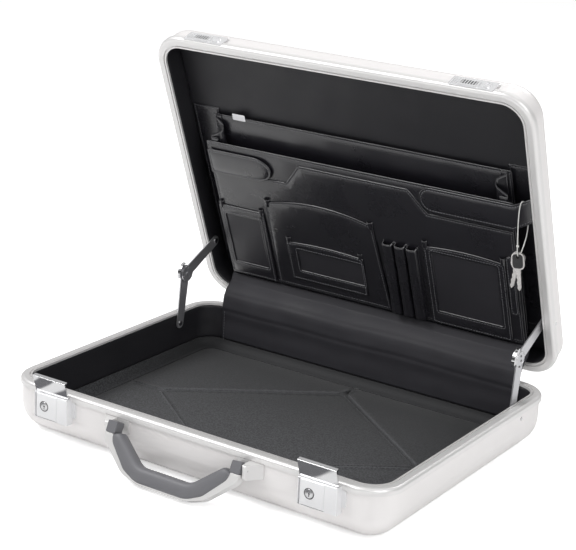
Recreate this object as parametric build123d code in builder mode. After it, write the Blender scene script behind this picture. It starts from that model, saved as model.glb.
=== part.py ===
from build123d import *
from math import cos, radians, sin, tan
import os

os.makedirs("parts", exist_ok=True)

# Attache case lying on its base with the lid propped open.
# Millimetres, +Z up, +Y towards the hinges. The origin is the middle of the base's underside.

# Opening that base and lid share, measured at the inner edge of the rim
OPENING_WIDTH = 434.0
OPENING_DEPTH = 323.7
OPENING_RADIUS = 23.4

# Drawn aluminium shells
BASE_DEPTH = 57.5
LID_DEPTH = 33.5
BASE_EDGE_RADIUS = 30.0
LID_EDGE_RADIUS = 14.0
SHEET = 1.2
SHELL_OFFSET = 10.0

# Extruded rim frames
FRAME_OFFSET = 12.0
FRAME_HEIGHT = 7.0
FRAME_SHOULDER = 4.0
FRAME_WEB = 2.4
FRAME_FLANGE = 1.5
SLOT_CLEARANCE = 0.1
GROOVE_START = 1.6
GROOVE_WIDTH = 1.6
GROOVE_DEPTH = 1.5
RIM_GAP = 0.3

# Lid hinge
LID_OPEN = 68.2
HINGE_BEHIND = 9.4
HINGE_DROP = 3.7
HINGE_SPACING = 260.0
HINGE_LENGTH = 44.0
HINGE_MIDDLE = 20.0
HINGE_SPLIT = 0.3
KNUCKLE_RADIUS = 4.0
PIN_RADIUS = 1.6
PIN_CLEARANCE = 0.05
LEAF_THICKNESS = 2.6
LEAF_HEIGHT = 20.0
RIVET_RADIUS = 1.6
RIVET_HEAD = 3.0
RIVET_HEAD_HEIGHT = 0.9
HINGE_RIVET_X = 14.0
BASE_LEAF_HEIGHT = 21.4
BASE_LEAF_DROP = 1.1
BASE_RIVET_UP = 4.5
LID_LEAF_TOP = 20.5
LID_LEAF_RIVET = 14.0

# Linings and floor
LINING = 1.5
LINING_INSET = 0.3
FLOOR_TOP = 4.5
FLOOR_COVE = 12.0
FLOOR_EDGE = 15.0
CREASE_WIDTH = 2.4
CREASE_DEPTH = 0.8
CREASE_HALF_WIDTH = 164.0
CREASE_HALF_DEPTH = 123.0
CREASE_CENTRE = 4.0
PANEL_FACE = 28.5
PANEL_THICKNESS = 3.0
FIT = 0.2

# Latches
LATCH_INSET = 55.5
LATCH_WIDTH = 43.0
LATCH_HEIGHT = 28.0
LATCH_DROP = 3.0
LATCH_FLANGE_UP = 15.0
LATCH_PROUD = 10.0
LATCH_FLANGE = 4.5
SLIDE_THICKNESS = 2.0
SLIDE_TRAVEL = 1.5
SLIDE_GAP = 0.5
HASP_REACH = 20.6
HASP_LEAN = 17.7
HASP_THICKNESS = 1.4
HASP_LIP = 2.2
HASP_BARREL = 2.1
HASP_PIN = 1.0
HASP_CHEEK = 1.8
SLIDE_LEFT = -18.8
SLIDE_RIGHT = 8.0
SLIDE_FROM_BOTTOM = 1.1
SLIDE_FROM_TOP = 0.9
CYLINDER_X = -8.5
CYLINDER_UP = 14.0
HASP_FOOT = 2.6
LATCH_RIVETS_X = (-17.0, 15.0)
LATCH_RIVETS_UP = (5.5, 20.5)
LATCH_RIVET_DEPTH = 4.0
CYLINDER_RADIUS = 4.6
CYLINDER_LENGTH = 6.0
KEYHOLE_RADIUS = 1.0
KEYHOLE_SLOT = 0.9
KEYHOLE_DROP = 3.2

# Keepers on the lid
KEEPER_WIDTH = 50.0
KEEPER_HEIGHT = 16.0
KEEPER_RIBS = 6
KEEPER_RIVET = 13.5
KEEPER_RIVETS = (-20.0, 13.0)

# Handle
HANDLE_PIVOT_BEYOND = 22.0
HANDLE_PIVOT_DROP = 12.0
HANDLE_DROOP = 65.0
HANDLE_HALF_WIDTH = 80.5
HANDLE_REACH = 46.5
HANDLE_BACKBONE = 4.2
HANDLE_THICKNESS = 13.0
HANDLE_PIN = 2.0
MOUNT_WIDTH = 30.0
MOUNT_HEIGHT = 15.0
MOUNT_PLATE = 2.0
EAR_WIDTH = 14.0
BACKING_PLATE = 2.0
MOUNT_OVERLAP = 14.5
MOUNT_RIVET_INSET = 6.5

# Folding stays
STAY_BASE_Y = 266.5
STAY_BASE_Z = -13.2
STAY_LID_Y = 266.7
STAY_LID_Z = 9.3
STAY_ELBOW_Y = 273.7
STAY_ELBOW_Z = 46.8
STAY_WIDTH = 12.0
STAY_SHEET = 1.4
STAY_GAP = 0.3
STAY_WALL_GAP = 1.0
STAY_DISC = 9.5
STAY_OPEN_HOLE = 5.2
STAY_RIVET = 1.6
STAY_HEAD = 3.2
STAY_DOT = 2.2
TAB_RADIUS = 14.0

# Organizer sewn into the lid; distances run from the opening's front edge and from the rim
LEATHER = 1.6
FILE_INSET = 6.0
FILE_TOP = 93.0
FILE_BOTTOM = 303.0
FILE_FACE = 22.5
PANEL_GAP = 25.0
FRONT_TOP = 121.5
FRONT_BOTTOM = 306.0
FRONT_FACE = 8.0
STEP_INSET = 2.0
STEP_TOP = 130.0
STEP_SHOULDER = 156.5
STEP_TOP_HALF = 69.0
STEP_SHOULDER_HALF = 90.0
STEP_FACE = 6.2
POCKET_FACE = 4.1
OUTER_FACE = 2.0
POCKET_BOTTOM = 302.0
FILM = 0.3
PEN_RADIUS = 5.5
PEN_WALL = 0.9
PEN_PITCH = 15.0
PEN_FIRST = 35.5
PEN_TOP = 203.0
PEN_HEIGHT = 7.0
GUSSET_SHEET = 0.9
GUSSET_GAP = 22.0
FOLD_DEPTH = 22.0
FOLD_RADIUS = 2.0
SMALL_WINDOW = (-88.0, -3.0, 244.0, 273.0)
TAG_INSET = 36.0

# Keys on their cord
KEY_HOLE_RADIUS = 2.2
KEY_BOW_WIDTH = 14.4
KEY_BOW_LENGTH = 17.6
KEY_BOW_TOP = 4.4
KEY_BLADE = 22.0
KEY_SHEET = 0.96
KEY_COVER = 0.6
KEY_COVER_INSET = 1.5
KEY_SPREAD = 1.6
CORD_DIAMETER = 1.2
CORD_LIFT = 0.9
CORD_PAST_KEYS = 4.6
KNOT_RADIUS = 1.5

# Worked out from the sizes above
LATCH_TOP = BASE_DEPTH - LATCH_DROP
LATCH_BOTTOM = LATCH_TOP - LATCH_HEIGHT
SLIDE_BOTTOM = LATCH_BOTTOM + SLIDE_FROM_BOTTOM
SLIDE_TOP = LATCH_TOP - SLIDE_FROM_TOP
CYLINDER_Z = LATCH_BOTTOM + CYLINDER_UP
LATCH_RIVETS_Z = [LATCH_BOTTOM + up for up in LATCH_RIVETS_UP]
FRAME_FOOT = BASE_DEPTH - FRAME_HEIGHT
BASE_LEAF_TOP = FRAME_FOOT - BASE_LEAF_DROP
BASE_LEAF_BOTTOM = BASE_LEAF_TOP - BASE_LEAF_HEIGHT
BASE_LEAF_RIVET = BASE_LEAF_BOTTOM + BASE_RIVET_UP
MOUNT_INNER = HANDLE_HALF_WIDTH - MOUNT_OVERLAP
MOUNT_RIVET_X = HANDLE_HALF_WIDTH - MOUNT_RIVET_INSET
LATCH_SPACING = OPENING_WIDTH - 2 * LATCH_INSET
FRONT_WIDTH = OPENING_WIDTH - 2 * PANEL_GAP
FILE_WIDTH = FRONT_WIDTH - 2 * FILE_INSET
STEP_WIDTH = FRONT_WIDTH - 2 * STEP_INSET
GUSSET_HALF = OPENING_WIDTH / 2 - GUSSET_GAP
FOLD_TIP = FILE_WIDTH / 2 - FOLD_DEPTH
LEFT_POCKET_SIDE = 1.0 - FRONT_WIDTH / 2
RIGHT_POCKET_SIDE = FRONT_WIDTH / 2 - 15.0
LEFT_WINDOW = (LEFT_POCKET_SIDE + 8.0, -137.0, 217.0, 284.0)
RIGHT_WINDOW = (89.0, RIGHT_POCKET_SIDE - 10.0, 205.0, 284.0)
STRAP_END = OPENING_WIDTH / 2 - FIT
KEY_X = OPENING_WIDTH / 2 - 14.0
FRONT_Y = -OPENING_DEPTH / 2
BACK_Y = OPENING_DEPTH / 2
LID_Z = BASE_DEPTH + RIM_GAP
HINGE_Y = BACK_Y + FRAME_OFFSET + HINGE_BEHIND
HINGE_Z = BASE_DEPTH - HINGE_DROP
HINGE_AXIS = Axis((0, HINGE_Y, HINGE_Z), (1, 0, 0))
SHELL_FRONT = FRONT_Y - SHELL_OFFSET
FRAME_FRONT = FRONT_Y - FRAME_OFFSET
SHELL_BACK = BACK_Y + SHELL_OFFSET
SHELL_INNER = SHELL_OFFSET - SHEET
BARREL_Y = FRAME_FRONT - 2.9
BARREL_Z = BASE_DEPTH - 4.0
LATCH_FRONT = SHELL_FRONT - LATCH_PROUD
PIVOT_Y = FRONT_Y - HANDLE_PIVOT_BEYOND
PIVOT_Z = BASE_DEPTH - HANDLE_PIVOT_DROP - 1.0
MOUNT_Z = PIVOT_Z - 2.0
MOUNT_RIVET_Z = PIVOT_Z - 1.0
CAP_INNER = HANDLE_HALF_WIDTH - 11.0
EAR_INNER = HANDLE_HALF_WIDTH + 0.3
STAY_FACE = OPENING_WIDTH / 2 + LINING_INSET - STAY_WALL_GAP
UPPER_FACE = STAY_FACE - STAY_SHEET - STAY_GAP
DISC_FACE = UPPER_FACE - STAY_SHEET - STAY_GAP
SIDES = {"left": -1, "right": 1}


def keep(piece, label):
    piece.label = label
    export_step(piece, f"parts/{label}.step")


def keep_on_lid(piece, label):
    keep(piece.rotate(HINGE_AXIS, -LID_OPEN), label)


def opening_outline(offset_out, mode=Mode.ADD):
    RectangleRounded(
        OPENING_WIDTH + 2 * offset_out,
        OPENING_DEPTH + 2 * offset_out,
        OPENING_RADIUS + offset_out,
        mode=mode,
    )


def lid_plane(distance_in):
    """Plane inside the closed lid, with Y counted from the opening's front edge."""
    return Plane((0, FRONT_Y, LID_Z + distance_in))


def drawn_tray(offset_out, height, edge_radius, floor=0.0):
    """Tray-shaped solid, floor down, with rounded corners and a rounded bottom edge."""
    with BuildPart() as tray:
        with BuildSketch(Plane.XY.offset(floor)):
            opening_outline(offset_out)
        extrude(amount=height - floor)
        fillet(tray.faces().sort_by(Axis.Z)[0].edges(), edge_radius)
    return tray.part


def frame_profile(plane):
    """Section of the rim extrusion: x runs outwards from the opening, y into the case."""
    slot_in = SHELL_INNER - SLOT_CLEARANCE
    slot_out = SHELL_OFFSET + SLOT_CLEARANCE
    groove_end = GROOVE_START + GROOVE_WIDTH
    with BuildSketch(plane) as profile:
        with BuildLine():
            top = Polyline(
                (0, FRAME_WEB),
                (0, 0),
                (GROOVE_START, 0),
                (GROOVE_START, GROOVE_DEPTH),
                (groove_end, GROOVE_DEPTH),
                (groove_end, 0),
                (FRAME_OFFSET - FRAME_SHOULDER, 0),
            )
            shoulder = RadiusArc(top @ 1, (FRAME_OFFSET, FRAME_SHOULDER), -FRAME_SHOULDER)
            Polyline(
                shoulder @ 1,
                (FRAME_OFFSET, FRAME_HEIGHT),
                (slot_out, FRAME_HEIGHT),
                (slot_out, FRAME_WEB),
                (slot_in, FRAME_WEB),
                (slot_in, FRAME_HEIGHT),
                (slot_in - FRAME_FLANGE, FRAME_HEIGHT),
                (slot_in - FRAME_FLANGE, FRAME_WEB),
                (0, FRAME_WEB),
            )
        make_face()
    return profile.sketch


def rim_frame(height, direction):
    """Rim extrusion bent round the opening; direction is -1 where the case lies below it."""
    half_width = OPENING_WIDTH / 2
    half_depth = OPENING_DEPTH / 2
    with BuildPart() as frame:
        with BuildLine(Plane.XY.offset(height)) as path:
            corners = FilletPolyline(
                (half_width, 0),
                (half_width, half_depth),
                (-half_width, half_depth),
                (-half_width, -half_depth),
                (half_width, -half_depth),
                (half_width, -half_depth / 2),
                radius=OPENING_RADIUS,
            )
            Line(corners @ 1, corners @ 0)
        start = Plane((half_width, 0, height), x_dir=(1, 0, 0), z_dir=(0, -direction, 0))
        sweep(frame_profile(start), path=path.wire())
    return frame.part


def side_plane(x, rim_height):
    """Plane across the case: local x runs back from the opening's front edge, y up from a rim."""
    return Plane((x, FRONT_Y, rim_height), x_dir=(0, 1, 0), z_dir=(1, 0, 0))


def front_plane(x, y, z):
    """Upright plane facing forwards, so that it extrudes out of the case's front."""
    return Plane((x, y, z), x_dir=(1, 0, 0), z_dir=(0, -1, 0))


def wall_ring(bottom, top):
    """Lining that stands just outside the opening's edge between two heights."""
    with BuildPart() as ring:
        with BuildSketch(Plane.XY.offset(bottom)):
            opening_outline(LINING_INSET + LINING)
            opening_outline(LINING_INSET, mode=Mode.SUBTRACT)
        extrude(amount=top - bottom)
    return ring.part


def lid_sheet(outline, face, thickness=LEATHER, corner=0.0):
    """Sheet of the organizer cut to an outline, its front face this far in from the rim."""
    with BuildPart() as sheet:
        with BuildSketch(lid_plane(face)) as shape:
            with BuildLine():
                Polyline(*outline, close=True)
            make_face()
            if corner:
                fillet(shape.vertices(), corner)
        extrude(amount=thickness)
    return sheet.part


# Base: drawn shell with holes for the rivets of latches, mounts, hinges and stays
def latch_rivet_places():
    return [(side * LATCH_SPACING / 2 + x, z)
            for side in SIDES.values() for x in LATCH_RIVETS_X for z in LATCH_RIVETS_Z]


def hinge_rivet_places(z):
    return [(side * HINGE_SPACING / 2 + x, z)
            for side in SIDES.values() for x in (-HINGE_RIVET_X, HINGE_RIVET_X)]


def mount_rivet_places():
    return [(side * MOUNT_RIVET_X, MOUNT_RIVET_Z) for side in SIDES.values()]


with BuildPart() as base_shell:
    add(drawn_tray(SHELL_OFFSET, BASE_DEPTH - FRAME_WEB, BASE_EDGE_RADIUS))
    add(drawn_tray(SHELL_INNER, BASE_DEPTH, BASE_EDGE_RADIUS - SHEET, SHEET), mode=Mode.SUBTRACT)
    with BuildSketch(front_plane(0, FRONT_Y, 0)):
        with Locations(*latch_rivet_places(), *mount_rivet_places()):
            Circle(RIVET_RADIUS)
    extrude(amount=SHELL_OFFSET + 1, mode=Mode.SUBTRACT)
    with BuildSketch(front_plane(0, BACK_Y, 0)):
        with Locations(*hinge_rivet_places(BASE_LEAF_RIVET)):
            Circle(RIVET_RADIUS)
    extrude(amount=-SHELL_OFFSET - 1, mode=Mode.SUBTRACT)
    with BuildSketch(side_plane(0, BASE_DEPTH)):
        with Locations((STAY_BASE_Y, STAY_BASE_Z)):
            Circle(STAY_RIVET)
    extrude(amount=OPENING_WIDTH, both=True, mode=Mode.SUBTRACT)

base_frame = rim_frame(BASE_DEPTH, -1)

with BuildPart() as base_wall_lining:
    add(wall_ring(FLOOR_EDGE, BASE_DEPTH - FRAME_WEB))
    with BuildSketch(side_plane(0, BASE_DEPTH)):
        with Locations((STAY_BASE_Y, STAY_BASE_Z)):
            Circle(STAY_RIVET)
    extrude(amount=OPENING_WIDTH, both=True, mode=Mode.SUBTRACT)

# Padded floor tray; the cloth is creased along a diamond and from its corners to the walls
CREASE_LEFT = (-CREASE_HALF_WIDTH, CREASE_CENTRE)
CREASE_RIGHT = (CREASE_HALF_WIDTH, CREASE_CENTRE)
CREASE_BACK = (0, CREASE_CENTRE + CREASE_HALF_DEPTH)
CREASE_FRONT = (0, CREASE_CENTRE - CREASE_HALF_DEPTH)
CREASES = (
    (CREASE_LEFT, CREASE_BACK),
    (CREASE_BACK, CREASE_RIGHT),
    (CREASE_RIGHT, CREASE_FRONT),
    (CREASE_FRONT, CREASE_LEFT),
    ((-OPENING_WIDTH / 2, CREASE_CENTRE), CREASE_LEFT),
    (CREASE_RIGHT, (OPENING_WIDTH / 2, CREASE_CENTRE)),
    (CREASE_BACK, (0, BACK_Y)),
    ((0, FRONT_Y), CREASE_FRONT),
)

with BuildPart() as base_floor_pad:
    add(drawn_tray(SHELL_INNER - FIT, BASE_DEPTH, BASE_EDGE_RADIUS - SHEET - FIT, SHEET + FIT))
    with BuildSketch(Plane.XY.offset(FLOOR_EDGE)):
        opening_outline(SHELL_OFFSET)
    extrude(amount=BASE_DEPTH, mode=Mode.SUBTRACT)
    add(drawn_tray(LINING_INSET, BASE_DEPTH, FLOOR_COVE, FLOOR_TOP), mode=Mode.SUBTRACT)
    for start, end in CREASES:
        run = Vector(*end) - Vector(*start)
        across = Plane((*start, FLOOR_TOP), x_dir=run.cross(Vector(0, 0, 1)), z_dir=run)
        with BuildSketch(across):
            with BuildLine():
                Polyline((-CREASE_WIDTH / 2, 0), (0, CREASE_DEPTH), (CREASE_WIDTH / 2, 0),
                         (0, -CREASE_DEPTH), close=True)
            make_face()
        extrude(amount=run.length, mode=Mode.SUBTRACT)

# Leatherette strip that closes the gap at the hinge, from the floor's seam into the lid
with BuildPart() as hinge_gusset:
    with BuildSketch(side_plane(-GUSSET_HALF, BASE_DEPTH)):
        with BuildLine():
            FilletPolyline((OPENING_DEPTH - 0.6, -41.8), (OPENING_DEPTH - 0.6, 12.0), (338.6, 27.0),
                           (342.0, 36.6), radius=(16.0, 8.0))
        trace(line_width=GUSSET_SHEET)
    extrude(amount=2 * GUSSET_HALF)


# Latches, both with the sliding plate on the left


def latch_housing(x):
    with BuildPart() as housing:
        with BuildSketch(front_plane(x, SHELL_FRONT, 0)):
            with Locations((0, (LATCH_BOTTOM + LATCH_TOP) / 2)):
                Rectangle(LATCH_WIDTH, LATCH_TOP - LATCH_BOTTOM)
        extrude(amount=LATCH_PROUD)
        fillet(housing.edges().group_by(Axis.Y)[0], 0.8)
        with BuildSketch(front_plane(x, SHELL_FRONT, 0)):
            with Locations((0, LATCH_BOTTOM + LATCH_FLANGE_UP)):
                RectangleRounded(LATCH_WIDTH + 2 * LATCH_FLANGE, 17.0, 1.5)
        extrude(amount=1.5)
        with Locations((x, SHELL_FRONT, LATCH_TOP)):
            Box(LATCH_WIDTH + 1, 2 * (FRAME_OFFSET - SHELL_OFFSET + 0.1), 2 * (LATCH_TOP - FRAME_FOOT + 0.1),
                mode=Mode.SUBTRACT)
        with BuildSketch(front_plane(x, LATCH_FRONT, 0)):
            with Locations(((SLIDE_LEFT + SLIDE_RIGHT - SLIDE_TRAVEL) / 2, (SLIDE_BOTTOM + SLIDE_TOP) / 2)):
                Rectangle(SLIDE_RIGHT - SLIDE_LEFT + SLIDE_TRAVEL + 2 * FIT,
                          SLIDE_TOP - SLIDE_BOTTOM + 2 * SLIDE_GAP)
        extrude(amount=-SLIDE_THICKNESS - FIT, mode=Mode.SUBTRACT)
        with BuildSketch(front_plane(x, LATCH_FRONT, 0)):
            with Locations((CYLINDER_X - SLIDE_TRAVEL / 2, CYLINDER_Z)):
                SlotCenterToCenter(SLIDE_TRAVEL, 2 * (CYLINDER_RADIUS + FIT))
        extrude(amount=-CYLINDER_LENGTH - FIT, mode=Mode.SUBTRACT)
        with BuildSketch(side_plane(x, 0)):
            with BuildLine():
                Polyline((-FRAME_OFFSET + 0.5, LATCH_TOP + 1), (-FRAME_OFFSET + 0.5, FRAME_FOOT + 0.5),
                         (-17.6, FRAME_FOOT + 0.5), (-17.6, LATCH_TOP + 1), close=True)
            make_face()
        extrude(amount=LATCH_WIDTH / 2 - HASP_CHEEK, both=True, mode=Mode.SUBTRACT)
        with BuildSketch(Plane.YZ.offset(x)):
            with Locations((BARREL_Y, BARREL_Z)):
                Circle(HASP_PIN)
        extrude(amount=LATCH_WIDTH / 2 - 0.4, both=True, mode=Mode.SUBTRACT)
        with BuildSketch(front_plane(x, SHELL_FRONT, 0)):
            with Locations(*[(a, b) for a in LATCH_RIVETS_X for b in LATCH_RIVETS_Z]):
                Circle(RIVET_RADIUS)
        extrude(amount=LATCH_RIVET_DEPTH, mode=Mode.SUBTRACT)
    return housing.part


def latch_slide(x):
    with BuildPart() as slide:
        with BuildSketch(front_plane(x, LATCH_FRONT, 0)):
            with Locations(((SLIDE_LEFT + SLIDE_RIGHT) / 2, (SLIDE_BOTTOM + SLIDE_TOP) / 2)):
                RectangleRounded(SLIDE_RIGHT - SLIDE_LEFT, SLIDE_TOP - SLIDE_BOTTOM, 0.6)
        extrude(amount=-SLIDE_THICKNESS)
        chamfer(slide.edges().group_by(Axis.Y)[0], 0.3)
        with BuildSketch(front_plane(x, LATCH_FRONT, 0)):
            with Locations((CYLINDER_X, CYLINDER_Z)):
                Circle(CYLINDER_RADIUS + PIN_CLEARANCE)
        extrude(amount=-SLIDE_THICKNESS, mode=Mode.SUBTRACT)
    return slide.part


def lock_cylinder(x):
    with BuildPart() as cylinder:
        with BuildSketch(front_plane(x + CYLINDER_X, LATCH_FRONT, CYLINDER_Z)):
            Circle(CYLINDER_RADIUS)
        extrude(amount=-CYLINDER_LENGTH)
        chamfer(cylinder.edges().group_by(Axis.Y)[0], 0.4)
        with BuildSketch(front_plane(x + CYLINDER_X, LATCH_FRONT, CYLINDER_Z)):
            Circle(KEYHOLE_RADIUS)
            with Locations((0, -KEYHOLE_DROP / 2)):
                Rectangle(KEYHOLE_SLOT, KEYHOLE_DROP)
        extrude(amount=-CYLINDER_LENGTH / 2, mode=Mode.SUBTRACT)
    return cylinder.part


def latch_hasp(x):
    """Hasp leaning outwards from its barrel, with a lip that hooks over the keeper."""
    with BuildPart() as hasp:
        lean = Plane((x, BARREL_Y, BARREL_Z), x_dir=(0, cos(radians(HASP_LEAN)), sin(radians(HASP_LEAN))),
                     z_dir=(1, 0, 0))
        inner = HASP_THICKNESS - HASP_BARREL
        with BuildSketch(lean):
            with BuildLine():
                Polyline((-HASP_BARREL, HASP_FOOT), (-HASP_BARREL, HASP_REACH),
                         (HASP_LIP, HASP_REACH), (HASP_LIP, HASP_REACH - HASP_THICKNESS),
                         (inner, HASP_REACH - HASP_THICKNESS), (inner, HASP_FOOT), close=True)
            make_face()
        extrude(amount=LATCH_WIDTH / 2 - 0.2, both=True)
        fillet(hasp.edges().filter_by(Axis.X).sort_by(Axis.Z)[-3:-1], 0.5)
        with BuildSketch(lean):
            Circle(HASP_BARREL)
            with BuildLine():
                Polyline((-HASP_BARREL, 0), (-HASP_BARREL, HASP_FOOT), (inner, HASP_FOOT), (inner, 0),
                         close=True)
            make_face()
            Circle(HASP_PIN + PIN_CLEARANCE, mode=Mode.SUBTRACT)
        extrude(amount=LATCH_WIDTH / 2 - HASP_CHEEK - FIT, both=True)
    return hasp.part


with BuildPart() as hasp_pins:
    for side in SIDES.values():
        with BuildSketch(Plane.YZ.offset(side * LATCH_SPACING / 2)):
            with Locations((BARREL_Y, BARREL_Z)):
                Circle(HASP_PIN)
        extrude(amount=LATCH_WIDTH / 2 - 0.5, both=True)

with BuildPart() as latch_rivets:
    for x, z in latch_rivet_places():
        with BuildSketch(front_plane(x, SHELL_FRONT + SHEET, z)):
            Circle(RIVET_HEAD)
        extrude(amount=-RIVET_HEAD_HEIGHT)
        with BuildSketch(front_plane(x, SHELL_FRONT + SHEET, z)):
            Circle(RIVET_RADIUS)
        extrude(amount=SHEET + LATCH_RIVET_DEPTH)


# Carrying handle with its mounts


def handle_mount(side):
    middle = side * (MOUNT_INNER + MOUNT_WIDTH / 2)
    with BuildPart() as mount:
        with BuildSketch(front_plane(middle, SHELL_FRONT, MOUNT_Z)):
            RectangleRounded(MOUNT_WIDTH, MOUNT_HEIGHT, 1.5)
        extrude(amount=MOUNT_PLATE)
        with BuildSketch(Plane.XY.offset(MOUNT_Z)):
            with BuildLine():
                Polyline(
                    (side * EAR_INNER, SHELL_FRONT),
                    (side * EAR_INNER, SHELL_FRONT - MOUNT_PLATE - EAR_WIDTH),
                    (side * (EAR_INNER + 4.0), SHELL_FRONT - MOUNT_PLATE - EAR_WIDTH),
                    (side * (MOUNT_INNER + MOUNT_WIDTH), SHELL_FRONT - MOUNT_PLATE),
                    (side * (MOUNT_INNER + MOUNT_WIDTH), SHELL_FRONT),
                    close=True,
                )
            make_face()
        extrude(amount=MOUNT_HEIGHT / 2, both=True)
        fillet(mount.faces().sort_by(Axis.Y)[0].edges(), 1.5)
        with BuildSketch(Plane.YZ.offset(side * EAR_INNER)):
            with Locations((PIVOT_Y, PIVOT_Z)):
                Circle(HANDLE_PIN)
        extrude(amount=side * 6.0, mode=Mode.SUBTRACT)
        with BuildSketch(front_plane(side * MOUNT_RIVET_X, SHELL_FRONT, MOUNT_RIVET_Z)):
            Circle(RIVET_RADIUS)
        extrude(amount=MOUNT_PLATE, mode=Mode.SUBTRACT)
    return mount.part


with BuildPart() as handle_pins:
    for side in SIDES.values():
        with BuildSketch(Plane.YZ.offset(side * (CAP_INNER + 3.0))):
            with Locations((PIVOT_Y, PIVOT_Z)):
                Circle(HANDLE_PIN)
        extrude(amount=side * (EAR_INNER + 6.0 - CAP_INNER - 3.0))

with BuildPart() as mount_rivets:
    for x, z in mount_rivet_places():
        with BuildSketch(front_plane(x, SHELL_FRONT + SHEET + BACKING_PLATE, z)):
            Circle(RIVET_HEAD)
        extrude(amount=-RIVET_HEAD_HEIGHT)
        with BuildSketch(front_plane(x, SHELL_FRONT + SHEET + BACKING_PLATE, z)):
            Circle(RIVET_RADIUS)
        extrude(amount=BACKING_PLATE + SHEET + MOUNT_PLATE)

with BuildPart() as handle_backing_plate:
    with BuildSketch(front_plane(0, SHELL_FRONT + SHEET, MOUNT_Z)):
        RectangleRounded(2 * (MOUNT_INNER + MOUNT_WIDTH + 2.0), MOUNT_HEIGHT - 1, 2.0)
        with Locations(*[(x, z - MOUNT_Z) for x, z in mount_rivet_places()]):
            Circle(RIVET_RADIUS, mode=Mode.SUBTRACT)
    extrude(amount=-BACKING_PLATE)

DROOP = radians(HANDLE_DROOP)
HANDLE_PLANE = Plane((0, PIVOT_Y, PIVOT_Z), x_dir=(1, 0, 0), z_dir=(0, sin(DROOP), -cos(DROOP)))
HANDLE_OUTER = ((HANDLE_HALF_WIDTH, 6.2), (HANDLE_HALF_WIDTH, 14.0), (50.0, 40.0), (30.0, HANDLE_REACH))
HANDLE_MIDDLE = ((CAP_INNER + 1.3, 6.2), (CAP_INNER - 2.5, 14.0), (46.5, 34.8),
                 (30.0, HANDLE_REACH - HANDLE_BACKBONE))
HANDLE_INNER = ((CAP_INNER + 0.3, 6.2), (CAP_INNER - 7.5, 3.4), (37.5, 22.5), (31.0, 28.0))


def mirrored(points):
    return [(-x, s) for x, s in reversed(points)]


with BuildPart() as handle_frame:
    with BuildSketch(HANDLE_PLANE):
        with BuildLine():
            outer = FilletPolyline(*HANDLE_OUTER, *mirrored(HANDLE_OUTER), radius=(10, 24, 40, 40, 24, 10))
            middle = FilletPolyline(*HANDLE_MIDDLE, *mirrored(HANDLE_MIDDLE), radius=(6, 16, 30, 30, 16, 6))
            Line(outer @ 0, middle @ 0)
            Line(outer @ 1, middle @ 1)
        make_face()
    extrude(amount=HANDLE_THICKNESS / 2 - 1, both=True)
    fillet(handle_frame.faces().filter_by(lambda f: abs(f.center().distance_to_plane(HANDLE_PLANE)) > 1)
           .edges(), 0.8)

with BuildPart() as handle_grip:
    with BuildSketch(HANDLE_PLANE):
        with BuildLine():
            middle = FilletPolyline(*HANDLE_MIDDLE, *mirrored(HANDLE_MIDDLE), radius=(6, 16, 30, 30, 16, 6))
            inner = FilletPolyline(*HANDLE_INNER, *mirrored(HANDLE_INNER), radius=(2, 8, 6, 6, 8, 2))
            Line(middle @ 0, inner @ 0)
            Line(middle @ 1, inner @ 1)
        make_face()
    extrude(amount=HANDLE_THICKNESS / 2, both=True)

with BuildPart() as handle_end_caps:
    for side in SIDES.values():
        with BuildSketch(HANDLE_PLANE):
            with Locations((side * (CAP_INNER + HANDLE_HALF_WIDTH) / 2, 0)):
                RectangleRounded(HANDLE_HALF_WIDTH - CAP_INNER, 12.0, 1.5)
        extrude(amount=6.0, both=True)
        with BuildSketch(Plane.YZ.offset(side * HANDLE_HALF_WIDTH)):
            with Locations((PIVOT_Y, PIVOT_Z)):
                Circle(HANDLE_PIN + PIN_CLEARANCE)
        extrude(amount=-side * 8.2, mode=Mode.SUBTRACT)


# Butt hinges behind the case; the lid's leaf has the middle knuckle
def hinge_leaf(x, leaf_bottom, leaf_top, rivet_z, arm, middle, pin_hole):
    with BuildPart() as leaf:
        leaf_middle = (leaf_bottom + leaf_top) / 2
        with BuildSketch(front_plane(x, SHELL_BACK, leaf_middle)):
            RectangleRounded(HINGE_LENGTH, leaf_top - leaf_bottom, 1.5)
        extrude(amount=-LEAF_THICKNESS)
        with BuildSketch(Plane.YZ.offset(x)):
            with BuildLine():
                Polyline(*arm, close=True)
            make_face()
            with Locations((HINGE_Y, HINGE_Z)):
                Circle(KNUCKLE_RADIUS)
                Circle(pin_hole, mode=Mode.SUBTRACT)
        extrude(amount=HINGE_LENGTH / 2, both=True)
        leaf_face = SHELL_BACK + LEAF_THICKNESS
        if middle:
            for end in (-1, 1):
                with Locations((x + end * HINGE_LENGTH / 2, leaf_face + 15, HINGE_Z)):
                    Box(HINGE_LENGTH - HINGE_MIDDLE, 30, 60, mode=Mode.SUBTRACT)
            with Locations((x, leaf_face, leaf_bottom - 10.1)):
                Box(HINGE_LENGTH + 1, LEAF_THICKNESS * 4, 20, mode=Mode.SUBTRACT)
            with BuildSketch(Plane.YZ.offset(x)):
                with BuildLine():
                    Polyline(*arm, close=True)
                make_face()
                with Locations((HINGE_Y, HINGE_Z)):
                    Circle(KNUCKLE_RADIUS)
                    Circle(pin_hole, mode=Mode.SUBTRACT)
            extrude(amount=HINGE_MIDDLE / 2, both=True)
        else:
            with Locations((x, leaf_face + 15, HINGE_Z)):
                Box(HINGE_MIDDLE + 2 * HINGE_SPLIT, 30, 60, mode=Mode.SUBTRACT)
        with BuildSketch(front_plane(x, SHELL_BACK, rivet_z)):
            with Locations((-HINGE_RIVET_X, 0), (HINGE_RIVET_X, 0)):
                Circle(RIVET_RADIUS)
        extrude(amount=-LEAF_THICKNESS, mode=Mode.SUBTRACT)
    return leaf.part


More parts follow.
